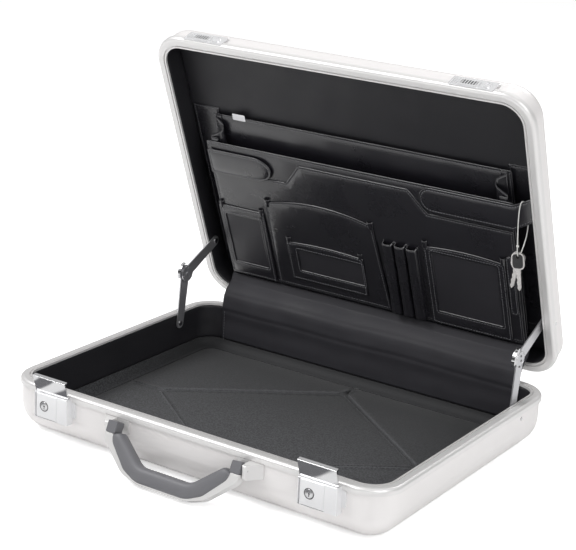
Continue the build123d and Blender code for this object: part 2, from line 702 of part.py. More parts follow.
BASE_ARM = (
    (SHELL_BACK, HINGE_Z - 15.8),
    (SHELL_BACK + LEAF_THICKNESS, HINGE_Z - 17.8),
    (HINGE_Y + 2.8, HINGE_Z - 2.9),
    (HINGE_Y - 3.5, HINGE_Z - 1.5),
    (SHELL_BACK, BASE_LEAF_TOP),
)
LID_ARM = (
    (SHELL_BACK, LID_Z + 14.0),
    (SHELL_BACK + LEAF_THICKNESS, LID_Z + 17.0),
    (HINGE_Y + 2.8, HINGE_Z + 2.9),
    (HINGE_Y - 3.8, HINGE_Z + 1.2),
    (BACK_Y + FRAME_OFFSET + 0.4, LID_Z + 3.2),
    (BACK_Y + FRAME_OFFSET + 0.4, LID_Z + FRAME_HEIGHT + 0.4),
    (SHELL_BACK, LID_Z + FRAME_HEIGHT + 0.4),
)

with BuildPart() as hinge_base_leaves:
    for side in SIDES.values():
        add(hinge_leaf(side * HINGE_SPACING / 2, BASE_LEAF_BOTTOM, BASE_LEAF_TOP, BASE_LEAF_RIVET,
                       BASE_ARM, False, PIN_RADIUS))

with BuildPart() as hinge_lid_leaves:
    for side in SIDES.values():
        add(hinge_leaf(side * HINGE_SPACING / 2, LID_Z + FRAME_HEIGHT + 0.4, LID_Z + LID_LEAF_TOP,
                       LID_Z + LID_LEAF_RIVET, LID_ARM, True, PIN_RADIUS + PIN_CLEARANCE))

with BuildPart() as hinge_pins:
    for side in SIDES.values():
        with BuildSketch(Plane.YZ.offset(side * HINGE_SPACING / 2)):
            with Locations((HINGE_Y, HINGE_Z)):
                Circle(PIN_RADIUS)
        extrude(amount=HINGE_LENGTH / 2 + 0.6, both=True)


def hinge_rivets(z):
    with BuildPart() as rivets:
        for x, height in hinge_rivet_places(z):
            with BuildSketch(front_plane(x, SHELL_BACK + LEAF_THICKNESS, height)):
                Circle(RIVET_HEAD)
            extrude(amount=-RIVET_HEAD_HEIGHT, taper=20)
            with BuildSketch(front_plane(x, SHELL_BACK + LEAF_THICKNESS, height)):
                Circle(RIVET_RADIUS)
            extrude(amount=LEAF_THICKNESS + SHEET)
            with BuildSketch(front_plane(x, SHELL_BACK - SHEET, height)):
                Circle(RIVET_HEAD)
            extrude(amount=RIVET_HEAD_HEIGHT)
    return rivets.part


# Folding stays at both sides. Layers from the wall inwards: lower arm, upper arm, elbow disc


def stay_arm(length, near_width, far_width, far_radius):
    with BuildSketch() as arm:
        with BuildLine():
            Polyline((0, -near_width / 2), (length, -far_width / 2), (length, far_width / 2),
                     (0, near_width / 2), close=True)
        make_face()
        Circle(near_width / 2)
        with Locations((length, 0)):
            Circle(far_radius)
    return arm.sketch


def stay_plane(side, face, y, z, towards_y, towards_z, rim=BASE_DEPTH):
    """Plane of a stay part with local x from one pivot to the other."""
    return Plane((side * face, FRONT_Y + y, rim + z), x_dir=(0, towards_y - y, towards_z - z),
                 z_dir=(side, 0, 0))


def stay_lower(side):
    length = (Vector(STAY_ELBOW_Y, STAY_ELBOW_Z) - Vector(STAY_BASE_Y, STAY_BASE_Z)).length
    plane = stay_plane(side, STAY_FACE, STAY_BASE_Y, STAY_BASE_Z, STAY_ELBOW_Y, STAY_ELBOW_Z)
    with BuildPart() as arm:
        with BuildSketch(plane):
            add(stay_arm(length, STAY_WIDTH, STAY_WIDTH + 3, STAY_DISC))
            Circle(STAY_RIVET + PIN_CLEARANCE, mode=Mode.SUBTRACT)
            with Locations((length, 0)):
                Circle(STAY_RIVET, mode=Mode.SUBTRACT)
        extrude(amount=-STAY_SHEET)
    return arm.part


def stay_elbow(side):
    """Inner disc of the elbow on its centre rivet, with three small rivet heads."""
    with BuildPart() as elbow:
        centre = side_plane(side * DISC_FACE, BASE_DEPTH)
        with BuildSketch(centre):
            with Locations((STAY_ELBOW_Y, STAY_ELBOW_Z)):
                Circle(STAY_DISC)
        extrude(amount=-side * STAY_SHEET)
        with BuildSketch(side_plane(side * (DISC_FACE - STAY_SHEET), BASE_DEPTH)):
            with Locations((STAY_ELBOW_Y, STAY_ELBOW_Z)):
                Circle(2.4)
                with PolarLocations(6.4, 3, start_angle=80):
                    Circle(0.9)
        extrude(amount=-side * 0.5)
        with BuildSketch(centre):
            with Locations((STAY_ELBOW_Y, STAY_ELBOW_Z)):
                Circle(STAY_RIVET)
        extrude(amount=side * (STAY_FACE - DISC_FACE))
    return elbow.part


def stay_tab(side):
    """Curved finger tab on the front edge of the elbow."""
    with BuildPart() as tab:
        with BuildSketch(side_plane(side * STAY_FACE, BASE_DEPTH)):
            with Locations((STAY_ELBOW_Y, STAY_ELBOW_Z)):
                Circle(TAB_RADIUS)
                Circle(STAY_DISC, mode=Mode.SUBTRACT)
            with BuildLine():
                Polyline((STAY_ELBOW_Y, STAY_ELBOW_Z), (STAY_ELBOW_Y - 6, STAY_ELBOW_Z + 24),
                         (STAY_ELBOW_Y - 24, STAY_ELBOW_Z + 24), (STAY_ELBOW_Y - 24, STAY_ELBOW_Z - 6),
                         close=True)
            make_face(mode=Mode.INTERSECT)
        extrude(amount=-side * STAY_SHEET)
        with BuildSketch(side_plane(side * STAY_FACE, BASE_DEPTH)):
            with Locations((STAY_ELBOW_Y, STAY_ELBOW_Z)):
                Circle(TAB_RADIUS)
                Circle(TAB_RADIUS - 1.2, mode=Mode.SUBTRACT)
            with BuildLine():
                Polyline((STAY_ELBOW_Y, STAY_ELBOW_Z), (STAY_ELBOW_Y - 6, STAY_ELBOW_Z + 24),
                         (STAY_ELBOW_Y - 24, STAY_ELBOW_Z + 24), (STAY_ELBOW_Y - 24, STAY_ELBOW_Z - 6),
                         close=True)
            make_face(mode=Mode.INTERSECT)
        extrude(amount=-side * (STAY_FACE - DISC_FACE))
    return tab.part


def stay_upper(side):
    """Upper arm in the closed lid's frame, pointing where the elbow is with the lid open."""
    opened = Vector(0, FRONT_Y + STAY_ELBOW_Y, BASE_DEPTH + STAY_ELBOW_Z)
    elbow = Vertex(opened).rotate(HINGE_AXIS, LID_OPEN).center()
    plane = stay_plane(side, UPPER_FACE, STAY_LID_Y, STAY_LID_Z, elbow.Y - FRONT_Y, elbow.Z - LID_Z, LID_Z)
    length = (Vector(elbow.Y - FRONT_Y, elbow.Z - LID_Z) - Vector(STAY_LID_Y, STAY_LID_Z)).length
    with BuildPart() as arm:
        with BuildSketch(plane):
            add(stay_arm(length, STAY_WIDTH, STAY_WIDTH + 2, STAY_OPEN_HOLE + 3))
            Circle(STAY_RIVET + PIN_CLEARANCE, mode=Mode.SUBTRACT)
            with Locations((length, 0)):
                Circle(STAY_OPEN_HOLE, mode=Mode.SUBTRACT)
        extrude(amount=-STAY_SHEET)
    return arm.part


def stay_rivets(y, z, rim, arm_face):
    """Pivot rivets from the outside of the shell to the arm, with a collar against the lining."""
    outside = OPENING_WIDTH / 2 + SHELL_OFFSET
    lining_face = OPENING_WIDTH / 2 + LINING_INSET
    with BuildPart() as rivets:
        for side in SIDES.values():
            with BuildSketch(side_plane(side * outside, rim)):
                with Locations((y, z)):
                    Circle(STAY_DOT)
            extrude(amount=side * RIVET_HEAD_HEIGHT, taper=20)
            with BuildSketch(side_plane(side * outside, rim)):
                with Locations((y, z)):
                    Circle(STAY_RIVET)
            extrude(amount=-side * (outside - arm_face + STAY_SHEET + 0.1))
            with BuildSketch(side_plane(side * (arm_face + 0.1), rim)):
                with Locations((y, z)):
                    Circle(STAY_HEAD)
            extrude(amount=side * (lining_face - arm_face - 0.1))
            with BuildSketch(side_plane(side * (arm_face - STAY_SHEET - 0.1), rim)):
                with Locations((y, z)):
                    Circle(STAY_HEAD)
            extrude(amount=-side * RIVET_HEAD_HEIGHT, taper=20)
    return rivets.part


# Lid: shell, rim, linings and keepers, all in the closed position
with BuildPart() as lid_shell:
    outer = drawn_tray(SHELL_OFFSET, LID_DEPTH - FRAME_WEB, LID_EDGE_RADIUS)
    hollow = drawn_tray(SHELL_INNER, LID_DEPTH, LID_EDGE_RADIUS - SHEET, SHEET)
    add(outer.rotate(Axis.X, 180).translate((0, 0, LID_Z + LID_DEPTH)))
    add(hollow.rotate(Axis.X, 180).translate((0, 0, LID_Z + LID_DEPTH)), mode=Mode.SUBTRACT)
    with BuildSketch(front_plane(0, BACK_Y, 0)):
        with Locations(*hinge_rivet_places(LID_Z + LID_LEAF_RIVET)):
            Circle(RIVET_RADIUS)
    extrude(amount=-SHELL_OFFSET - 1, mode=Mode.SUBTRACT)
    with BuildSketch(front_plane(0, FRONT_Y, LID_Z)):
        with Locations(*[(side * LATCH_SPACING / 2 + x, KEEPER_RIVET) for side in SIDES.values()
                         for x in KEEPER_RIVETS]):
            Circle(RIVET_RADIUS)
    extrude(amount=SHELL_OFFSET + 1, mode=Mode.SUBTRACT)
    with BuildSketch(side_plane(0, LID_Z)):
        with Locations((STAY_LID_Y, STAY_LID_Z)):
            Circle(STAY_RIVET)
    extrude(amount=OPENING_WIDTH, both=True, mode=Mode.SUBTRACT)

with BuildPart() as lid_wall_lining:
    add(wall_ring(LID_Z + FRAME_WEB, LID_Z + PANEL_FACE))
    with BuildSketch(side_plane(0, LID_Z)):
        with Locations((STAY_LID_Y, STAY_LID_Z)):
            Circle(STAY_RIVET)
    extrude(amount=OPENING_WIDTH, both=True, mode=Mode.SUBTRACT)

with BuildPart() as lid_panel_lining:
    with BuildSketch(Plane.XY.offset(LID_Z + PANEL_FACE)):
        opening_outline(LINING_INSET + LINING)
    extrude(amount=PANEL_THICKNESS)
    fillet(lid_panel_lining.faces().sort_by(Axis.Z)[-1].edges(), PANEL_THICKNESS - 0.2)

with BuildPart() as lid_keepers:
    for side in SIDES.values():
        x = side * LATCH_SPACING / 2
        with BuildSketch(front_plane(x, FRAME_FRONT - 0.1, LID_Z + 1.2 + KEEPER_HEIGHT / 2)):
            RectangleRounded(KEEPER_WIDTH, KEEPER_HEIGHT, 1.2)
        extrude(amount=0.4)
        with BuildSketch(front_plane(x, SHELL_FRONT, LID_Z + (FRAME_HEIGHT + 17.2) / 2 + 0.1)):
            Rectangle(KEEPER_WIDTH - 2, 17.2 - FRAME_HEIGHT - 0.2)
        extrude(amount=FRAME_OFFSET - SHELL_OFFSET + 0.2)
        with BuildSketch(front_plane(x + 14.0, FRAME_FRONT - 0.5, LID_Z + 9.2)):
            Circle(5.2)
        extrude(amount=1.4)
        with BuildSketch(front_plane(x + 14.0, FRAME_FRONT - 1.9, LID_Z + 9.2)):
            SlotOverall(8.0, 2.6, rotation=60)
        extrude(amount=-1.2, mode=Mode.SUBTRACT)
        with BuildSketch(front_plane(x - 4.0, FRAME_FRONT - 0.5, LID_Z + 8.6)):
            RectangleRounded(22.0, 11.0, 1.0)
            Rectangle(18.0, 7.0, mode=Mode.SUBTRACT)
            with GridLocations(18.0 / KEEPER_RIBS, 1, KEEPER_RIBS, 1):
                Rectangle(1.2, 7.4)
        extrude(amount=1.0)
        with BuildSketch(front_plane(x - 20.0, FRAME_FRONT - 0.5, LID_Z + 8.6)):
            with GridLocations(2.6, 1, 3, 1):
                Rectangle(1.2, 9.0)
        extrude(amount=0.8)
        with BuildSketch(front_plane(x, SHELL_FRONT, LID_Z + KEEPER_RIVET)):
            with Locations(*[(a, 0) for a in KEEPER_RIVETS]):
                Circle(RIVET_RADIUS)
        extrude(amount=1.6, mode=Mode.SUBTRACT)

with BuildPart() as keeper_rivets:
    for side in SIDES.values():
        for x in KEEPER_RIVETS:
            place = side * LATCH_SPACING / 2 + x
            with BuildSketch(front_plane(place, SHELL_FRONT + SHEET, LID_Z + KEEPER_RIVET)):
                Circle(RIVET_HEAD)
            extrude(amount=-RIVET_HEAD_HEIGHT)
            with BuildSketch(front_plane(place, SHELL_FRONT + SHEET, LID_Z + KEEPER_RIVET)):
                Circle(RIVET_RADIUS)
            extrude(amount=SHEET + 1.6)


# Organizer in the lid
def turned_in_sheet(half_width, top, bottom, face, depth):
    """Panel whose bottom edge turns back towards the lid's lining."""
    with BuildPart() as sheet:
        with BuildSketch(side_plane(-half_width, LID_Z)):
            with BuildLine():
                Polyline((top, face), (bottom, face), (bottom, depth), (bottom - LEATHER, depth),
                         (bottom - LEATHER, face + LEATHER), (top, face + LEATHER), close=True)
            make_face()
        extrude(amount=2 * half_width)
        fillet(sheet.edges().filter_by(Axis.Z).group_by(Axis.Y)[0], 0.4)
    return sheet.part


def lid_patch(centre_x, centre_y, width, depth, face, thickness, corner):
    with BuildPart() as patch:
        with BuildSketch(lid_plane(face)):
            with Locations((centre_x, centre_y)):
                RectangleRounded(width, depth, corner)
        extrude(amount=thickness)
    return patch.part


def window_pocket(left, right, top, bottom, face, window):
    window_left, window_right, window_top, window_bottom = window
    with BuildPart() as pocket:
        add(lid_patch((left + right) / 2, (top + bottom) / 2, right - left, bottom - top, face,
                      LEATHER, 1.5))
        add(lid_patch((window_left + window_right) / 2, (window_top + window_bottom) / 2,
                      window_right - window_left, window_bottom - window_top, face, LEATHER, 1.0),
            mode=Mode.SUBTRACT)
    return pocket.part


def window_film(face, window):
    left, right, top, bottom = window
    return lid_patch((left + right) / 2, (top + bottom) / 2, right - left + 5, bottom - top + 5,
                     face + LEATHER, FILM, 1.0)


file_pocket_panel = turned_in_sheet(FILE_WIDTH / 2, FILE_TOP, FILE_BOTTOM, FILE_FACE, PANEL_FACE - FIT)
organizer_panel = turned_in_sheet(FRONT_WIDTH / 2, FRONT_TOP, FRONT_BOTTOM, FRONT_FACE, PANEL_FACE - FIT)

with BuildPart() as file_gussets:
    for side in SIDES.values():
        front = FRONT_FACE + LEATHER + FIT + GUSSET_SHEET / 2
        back = FILE_FACE - FIT - GUSSET_SHEET / 2
        with BuildSketch(Plane((0, FRONT_Y + FILE_TOP, LID_Z), x_dir=(1, 0, 0), z_dir=(0, 1, 0))):
            with BuildLine():
                FilletPolyline(
                    (side * (FILE_WIDTH / 2 - 10), -front),
                    (side * (FILE_WIDTH / 2 + 4), -front),
                    (side * FOLD_TIP, -(front + back) / 2),
                    (side * (FILE_WIDTH / 2 - 1), -back),
                    (side * (FILE_WIDTH / 2 - 12), -back),
                    radius=(0.6, FOLD_RADIUS, 0.6),
                )
                offset(amount=GUSSET_SHEET / 2, side=Side.BOTH)
            make_face()
        extrude(amount=FRONT_BOTTOM - LEATHER - FIT - FILE_TOP - 2)
    with BuildSketch(side_plane(-FRONT_WIDTH, LID_Z)):
        with BuildLine():
            Polyline((FILE_TOP - 1, FILE_FACE), (FRONT_TOP, FRONT_FACE), (FILE_TOP - 1, FRONT_FACE),
                     close=True)
        make_face()
    extrude(amount=2 * FRONT_WIDTH, mode=Mode.SUBTRACT)
    strip_inner = FILE_WIDTH / 2 - 6
    strip_outer = OPENING_WIDTH / 2 - 1
    for side in SIDES.values():
        add(lid_patch(side * (strip_inner + strip_outer) / 2, 190.0, strip_outer - strip_inner, 204.0,
                      PANEL_FACE - FIT - GUSSET_SHEET, GUSSET_SHEET, 1.0))

mid_pocket = lid_sheet(
    (
        (-STEP_WIDTH / 2, STEP_SHOULDER),
        (-STEP_SHOULDER_HALF, STEP_SHOULDER),
        (-STEP_TOP_HALF, STEP_TOP),
        (STEP_TOP_HALF, STEP_TOP),
        (STEP_SHOULDER_HALF, STEP_SHOULDER),
        (STEP_WIDTH / 2, STEP_SHOULDER),
        (STEP_WIDTH / 2, POCKET_BOTTOM),
        (-STEP_WIDTH / 2, POCKET_BOTTOM),
    ),
    STEP_FACE,
)

with BuildPart() as tongue_flap:
    with BuildSketch(lid_plane(POCKET_FACE)):
        with BuildLine():
            edge = Polyline((-128.0, 161.0), (-STEP_WIDTH / 2, 161.0), (-STEP_WIDTH / 2, 130.0),
                            (-128.0, 130.0))
            Spline(edge @ 1, (-106.0, 145.5), edge @ 0, tangents=((1, 0), (-1, 0)))
        make_face()
    extrude(amount=LEATHER)

with BuildPart() as strap_flap:
    with BuildSketch(lid_plane(POCKET_FACE)):
        with BuildLine():
            edge = Polyline((98.0, 121.0), (FRONT_WIDTH / 2, 121.0), (STRAP_END, 110.0), (STRAP_END, 138.0),
                            (FRONT_WIDTH / 2, 152.0), (98.0, 152.0))
            Spline(edge @ 1, (83.0, 136.5), edge @ 0, tangents=((-1, 0), (1, 0)))
        make_face()
    extrude(amount=LEATHER)

window_pocket_left = window_pocket(LEFT_POCKET_SIDE, -128.0, 205.0, POCKET_BOTTOM, POCKET_FACE, LEFT_WINDOW)
window_pocket_right = window_pocket(79.0, RIGHT_POCKET_SIDE, 196.0, POCKET_BOTTOM, POCKET_FACE, RIGHT_WINDOW)
small_window_pocket = window_pocket(-102.0, -0.5, 233.0, 287.0, OUTER_FACE, SMALL_WINDOW)

with BuildPart() as window_films:
    add(window_film(POCKET_FACE, LEFT_WINDOW))
    add(window_film(POCKET_FACE, RIGHT_WINDOW))
    add(window_film(OUTER_FACE, SMALL_WINDOW))

with BuildPart() as centre_pocket:
    with BuildSketch(lid_plane(POCKET_FACE)):
        with BuildLine():
            arch = ThreePointArc((-124.0, 189.0), (-53.0, 178.0), (18.0, 188.5))
            Polyline(arch @ 1, (27.0, 300.0), (-124.0, 300.0), arch @ 0)
        make_face()
    extrude(amount=LEATHER)

with BuildPart() as pen_loops:
    for number in range(3):
        start = (PEN_FIRST + number * PEN_PITCH, FRONT_Y + PEN_TOP, LID_Z + STEP_FACE - FIT)
        with BuildSketch(Plane(start, x_dir=(1, 0, 0), z_dir=(0, 1, 0))):
            with Locations((0, PEN_HEIGHT / 2)):
                RectangleRounded(2 * PEN_RADIUS + 1.0, PEN_HEIGHT, PEN_HEIGHT / 2 - 0.1)
                RectangleRounded(2 * (PEN_RADIUS - PEN_WALL) + 1.0, PEN_HEIGHT - 2 * PEN_WALL,
                                 PEN_HEIGHT / 2 - PEN_WALL - 0.1, mode=Mode.SUBTRACT)
        extrude(amount=POCKET_BOTTOM - 2 - PEN_TOP)

rear_pocket_tab = lid_patch(FRONT_WIDTH / 2 - 8.8, 226.0, 10.0, 76.0, POCKET_FACE, LEATHER, 4.5)

with BuildPart() as pocket_snap:
    with BuildSketch(lid_plane(POCKET_FACE)):
        with Locations((-114.6, 224.0)):
            Circle(2.6)
    extrude(amount=-0.8, taper=25)
    with BuildSketch(lid_plane(POCKET_FACE - 0.8)):
        with Locations((-114.6, 224.0)):
            Circle(1.2)
    extrude(amount=-0.4)

paper_tag = lid_patch(TAG_INSET - FILE_WIDTH / 2, 92.5, 17.0, 8.0, FILE_FACE - 0.6, 0.4, 1.0)


# Keys on a cord loop round the strap; they hang straight down with the lid open
def lid_point(x, y, z):
    """Place in the closed lid carried to where it is with the lid open."""
    return Vertex(x, FRONT_Y + y, LID_Z + z).rotate(HINGE_AXIS, -LID_OPEN).center()


KEY_HOLE = lid_point(KEY_X, 171.8, -10.8)
KNOT = KEY_HOLE + Vector(0, -CORD_PAST_KEYS, 12.0)

# The loop starts in the knot, goes over the strap, comes back through both keys and ends in the knot
points = [
    KNOT + Vector(0, 0, 0.5),
    lid_point(KEY_X - 1.0, 115.7, 0.6),
    lid_point(KEY_X + 3.5, 113.7, 9.4),
    lid_point(KEY_X + 4.5, 146.8, 9.9),
    KEY_HOLE + Vector(0.3, CORD_PAST_KEYS, CORD_LIFT),
    KEY_HOLE + Vector(0, -CORD_PAST_KEYS, CORD_LIFT),
    KNOT - Vector(0, 0, 0.5),
]
legs = [(b - a) for a, b in zip(points, points[1:])]
cord_radii = [0.45 * min(a.length, b.length) / tan(radians(a.get_angle(b)) / 2)
              for a, b in zip(legs, legs[1:])]
print("key cord route and radii", [tuple(round(c, 3) for c in tuple(point)) for point in points],
      [round(radius, 3) for radius in cord_radii])

with BuildPart() as key_cord:
    with BuildLine() as route:
        FilletPolyline(*points, radius=cord_radii)
    with BuildSketch(Plane(route.line @ 0, z_dir=legs[0])):
        Circle(CORD_DIAMETER / 2)
    sweep(path=route.wire())
    with Locations(KNOT):
        Sphere(KNOT_RADIUS)
print("key cord length", round(route.wire().length, 1))

KEY_PLANES = [
    Plane(KEY_HOLE + Vector(0, side * KEY_SPREAD, 0), x_dir=(cos(radians(turn)), 0, -sin(radians(turn))),
          z_dir=(0, -1, 0))
    for side, turn in ((-1, -8), (1, 10))
]


def key_bow(inset):
    with BuildSketch() as bow:
        with Locations((0, KEY_BOW_TOP - KEY_BOW_LENGTH / 2)):
            RectangleRounded(KEY_BOW_WIDTH - 2 * inset, KEY_BOW_LENGTH - 2 * inset, 5.0 - inset)
        Circle(KEY_HOLE_RADIUS, mode=Mode.SUBTRACT)
    return bow.sketch


bow_bottom = KEY_BOW_TOP - KEY_BOW_LENGTH
with BuildPart() as key_blades:
    for plane in KEY_PLANES:
        with BuildSketch(plane):
            add(key_bow(0))
            with BuildLine():
                Polyline((-2.6, bow_bottom + 1), (2.6, bow_bottom + 1), (2.6, bow_bottom - KEY_BLADE + 3),
                         (0.8, bow_bottom - KEY_BLADE), (-1.4, bow_bottom - KEY_BLADE + 2.4),
                         (-1.0, bow_bottom - 16.0), (-2.0, bow_bottom - 13.5), (-1.2, bow_bottom - 11.0),
                         (-2.2, bow_bottom - 8.0), (-1.4, bow_bottom - 5.5), (-2.6, bow_bottom - 3.0),
                         close=True)
            make_face()
        extrude(amount=KEY_SHEET / 2, both=True)

with BuildPart() as key_bows:
    for plane in KEY_PLANES:
        for face in (-KEY_SHEET / 2 - KEY_COVER, KEY_SHEET / 2):
            with BuildSketch(plane.offset(face)):
                add(key_bow(KEY_COVER_INSET))
            extrude(amount=KEY_COVER)

with BuildPart() as base_rivets:
    add(latch_rivets.part)
    add(mount_rivets.part)
    add(hinge_rivets(BASE_LEAF_RIVET))

with BuildPart() as lid_rivets:
    add(keeper_rivets.part)
    add(hinge_rivets(LID_Z + LID_LEAF_RIVET))


# Saved parts: base
keep(base_shell.part, "base_shell")
keep(base_frame, "base_frame")
keep(base_wall_lining.part, "base_wall_lining")
keep(base_floor_pad.part, "base_floor_pad")
keep(hinge_gusset.part, "hinge_gusset")
keep(hasp_pins.part, "hasp_pins")
keep(handle_pins.part, "handle_pins")
keep(handle_backing_plate.part, "handle_backing_plate")
keep(handle_frame.part, "handle_frame")
keep(handle_grip.part, "handle_grip")
keep(handle_end_caps.part, "handle_end_caps")
keep(hinge_base_leaves.part, "hinge_base_leaves")
keep(hinge_pins.part, "hinge_pins")
keep(base_rivets.part, "base_rivets")
keep(stay_rivets(STAY_BASE_Y, STAY_BASE_Z, BASE_DEPTH, STAY_FACE), "stay_base_rivets")

for name, side in SIDES.items():
    latch_x = side * LATCH_SPACING / 2
    keep(latch_housing(latch_x), f"latch_housing_{name}")
    keep(latch_slide(latch_x), f"latch_slide_{name}")
    keep(lock_cylinder(latch_x), f"lock_cylinder_{name}")
    keep(latch_hasp(latch_x), f"latch_hasp_{name}")
    keep(handle_mount(side), f"handle_mount_{name}")
    keep(stay_lower(side), f"stay_lower_{name}")
    keep(stay_elbow(side), f"stay_elbow_{name}")
    keep(stay_tab(side), f"stay_tab_{name}")
    keep_on_lid(stay_upper(side), f"stay_upper_{name}")

# Saved parts: lid
keep_on_lid(lid_shell.part, "lid_shell")
keep_on_lid(rim_frame(LID_Z, 1), "lid_frame")
keep_on_lid(lid_wall_lining.part, "lid_wall_lining")
keep_on_lid(lid_panel_lining.part, "lid_panel_lining")
keep_on_lid(lid_keepers.part, "lid_keepers")
keep_on_lid(hinge_lid_leaves.part, "hinge_lid_leaves")
keep_on_lid(lid_rivets.part, "lid_rivets")
keep_on_lid(stay_rivets(STAY_LID_Y, STAY_LID_Z, LID_Z, UPPER_FACE), "stay_lid_rivets")
keep_on_lid(file_pocket_panel, "file_pocket_panel")
keep_on_lid(file_gussets.part, "file_gussets")
keep_on_lid(organizer_panel, "organizer_panel")
keep_on_lid(mid_pocket, "mid_pocket")
keep_on_lid(tongue_flap.part, "tongue_flap")
keep_on_lid(strap_flap.part, "strap_flap")
keep_on_lid(window_pocket_left, "window_pocket_left")
keep_on_lid(window_pocket_right, "window_pocket_right")
keep_on_lid(small_window_pocket, "small_window_pocket")
keep_on_lid(window_films.part, "window_films")
keep_on_lid(centre_pocket.part, "centre_pocket")
keep_on_lid(pen_loops.part, "pen_loops")
keep_on_lid(rear_pocket_tab, "rear_pocket_tab")
keep_on_lid(pocket_snap.part, "pocket_snap")
keep_on_lid(paper_tag, "paper_tag")
keep(key_cord.part, "key_cord")
keep(key_bows.part, "key_bows")
keep(key_blades.part, "key_blades")
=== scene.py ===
from math import acos, ceil, copysign, cos, dist, exp, pi, radians, sin, sqrt, tan, tau

import bpy
import numpy as np
from mathutils import Matrix, Vector, geometry, noise


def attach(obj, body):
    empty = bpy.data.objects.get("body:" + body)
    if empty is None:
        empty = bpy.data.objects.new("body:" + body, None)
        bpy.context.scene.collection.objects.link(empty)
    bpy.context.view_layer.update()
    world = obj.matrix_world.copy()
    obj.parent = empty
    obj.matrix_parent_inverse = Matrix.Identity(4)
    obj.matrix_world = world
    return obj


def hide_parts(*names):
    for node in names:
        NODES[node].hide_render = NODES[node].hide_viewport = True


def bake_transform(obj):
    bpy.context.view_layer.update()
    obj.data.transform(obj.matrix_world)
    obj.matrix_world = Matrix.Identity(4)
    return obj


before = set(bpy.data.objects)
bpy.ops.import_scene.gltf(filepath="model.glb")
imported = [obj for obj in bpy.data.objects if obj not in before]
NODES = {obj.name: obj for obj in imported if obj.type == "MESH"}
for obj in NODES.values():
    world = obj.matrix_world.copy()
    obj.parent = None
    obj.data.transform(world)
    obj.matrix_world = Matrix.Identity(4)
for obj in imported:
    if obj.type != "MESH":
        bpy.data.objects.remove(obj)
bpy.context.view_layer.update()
MM = 0.001

# Sizes repeated from the part's source, in millimetres
OPENING_WIDTH = 434
OPENING_DEPTH = 323.7
OPENING_RADIUS = 23.4
BASE_DEPTH = 57.5
RIM_GAP = 0.3
FRAME_WEB = 2.4
LID_OPEN = 68.2
FLOOR_EDGE = 15
FLOOR_TOP = 4.5
FLOOR_COVE = 12
LATCH_X = 161.5
HALF_DEPTH = OPENING_DEPTH / 2
FRONT_Y = -HALF_DEPTH
HINGE = Vector((0, HALF_DEPTH + 21.4, BASE_DEPTH - 3.7))
OPEN_TURN = Matrix.Rotation(radians(-LID_OPEN), 3, "X")

# Faces of the lid's layers, counted in from its rim, and the thickness of a folded and of a single sheet
PANEL_FACE = 28.5
FILE_FACE = 22.5
ORGANIZER_FACE = 8
STEP_FACE = 6.2
POCKET_FACE = 4.1
SMALL_POCKET_FACE = 2
FOLDED = 1.6
SINGLE = 0.9
SEAM = 0.2


def base_point(x, y, z):
    """Metres in the row frame for a place in the base: y from the front edge, z from the underside."""
    return Vector((x, FRONT_Y + y, z)) * MM


def lid_point(x, y, z):
    """The same for a place in the closed lid, z counted in from its rim, carried to the open lid."""
    closed = Vector((x, FRONT_Y + y, BASE_DEPTH + RIM_GAP + z))
    return (HINGE + OPEN_TURN @ (closed - HINGE)) * MM


def lid_way(across, into):
    """Direction in the row frame of a way across and into the closed lid."""
    return (lid_point(across, 0, into) - lid_point(0, 0, 0)).normalized()


# ---- materials
def set_socket(tree, socket, value):
    if isinstance(value, bpy.types.NodeSocket):
        tree.links.new(value, socket)
    else:
        socket.default_value = value


def add_node(tree, kind, inputs=None, **settings):
    """Node with its settings and inputs; a kind without Node in its name is a shader's."""
    node = tree.nodes.new(kind if "Node" in kind else f"ShaderNode{kind}")
    for name, value in settings.items():
        setattr(node, name, value)
    for name, value in (inputs or {}).items():
        set_socket(tree, node.inputs[name], value)
    return node


def math_node(tree, operation, first, second=0, clamp=False):
    inputs = {0: first, 1: second}
    return add_node(tree, "Math", inputs, operation=operation, use_clamp=clamp).outputs[0]


def noise_node(tree, where, scale, detail, roughness=0.5):
    return add_node(tree, "TexNoise", {"Vector": where, "Scale": scale, "Detail": detail,
        "Roughness": roughness}).outputs


def map_range(tree, value, low, high, to_low, to_high):
    return add_node(tree, "MapRange", {"Value": value, "From Min": low, "From Max": high,
        "To Min": to_low, "To Max": to_high}).outputs["Result"]


def split_xyz(tree, where):
    return add_node(tree, "SeparateXYZ", {"Vector": where}).outputs


def new_group(name, inputs, outputs):
    """Node group with coordinates and named numbers as inputs; its outputs are numbers."""
    group = bpy.data.node_groups.new(name, "ShaderNodeTree")
    group.interface.new_socket("Coordinates", in_out="INPUT", socket_type="NodeSocketVector")
    for label, default in inputs.items():
        socket = group.interface.new_socket(label, in_out="INPUT", socket_type="NodeSocketFloat")
        socket.default_value = default
    for label in outputs:
        group.interface.new_socket(label, in_out="OUTPUT", socket_type="NodeSocketFloat")
    return group, group.nodes.new("NodeGroupInput").outputs, group.nodes.new("NodeGroupOutput").inputs


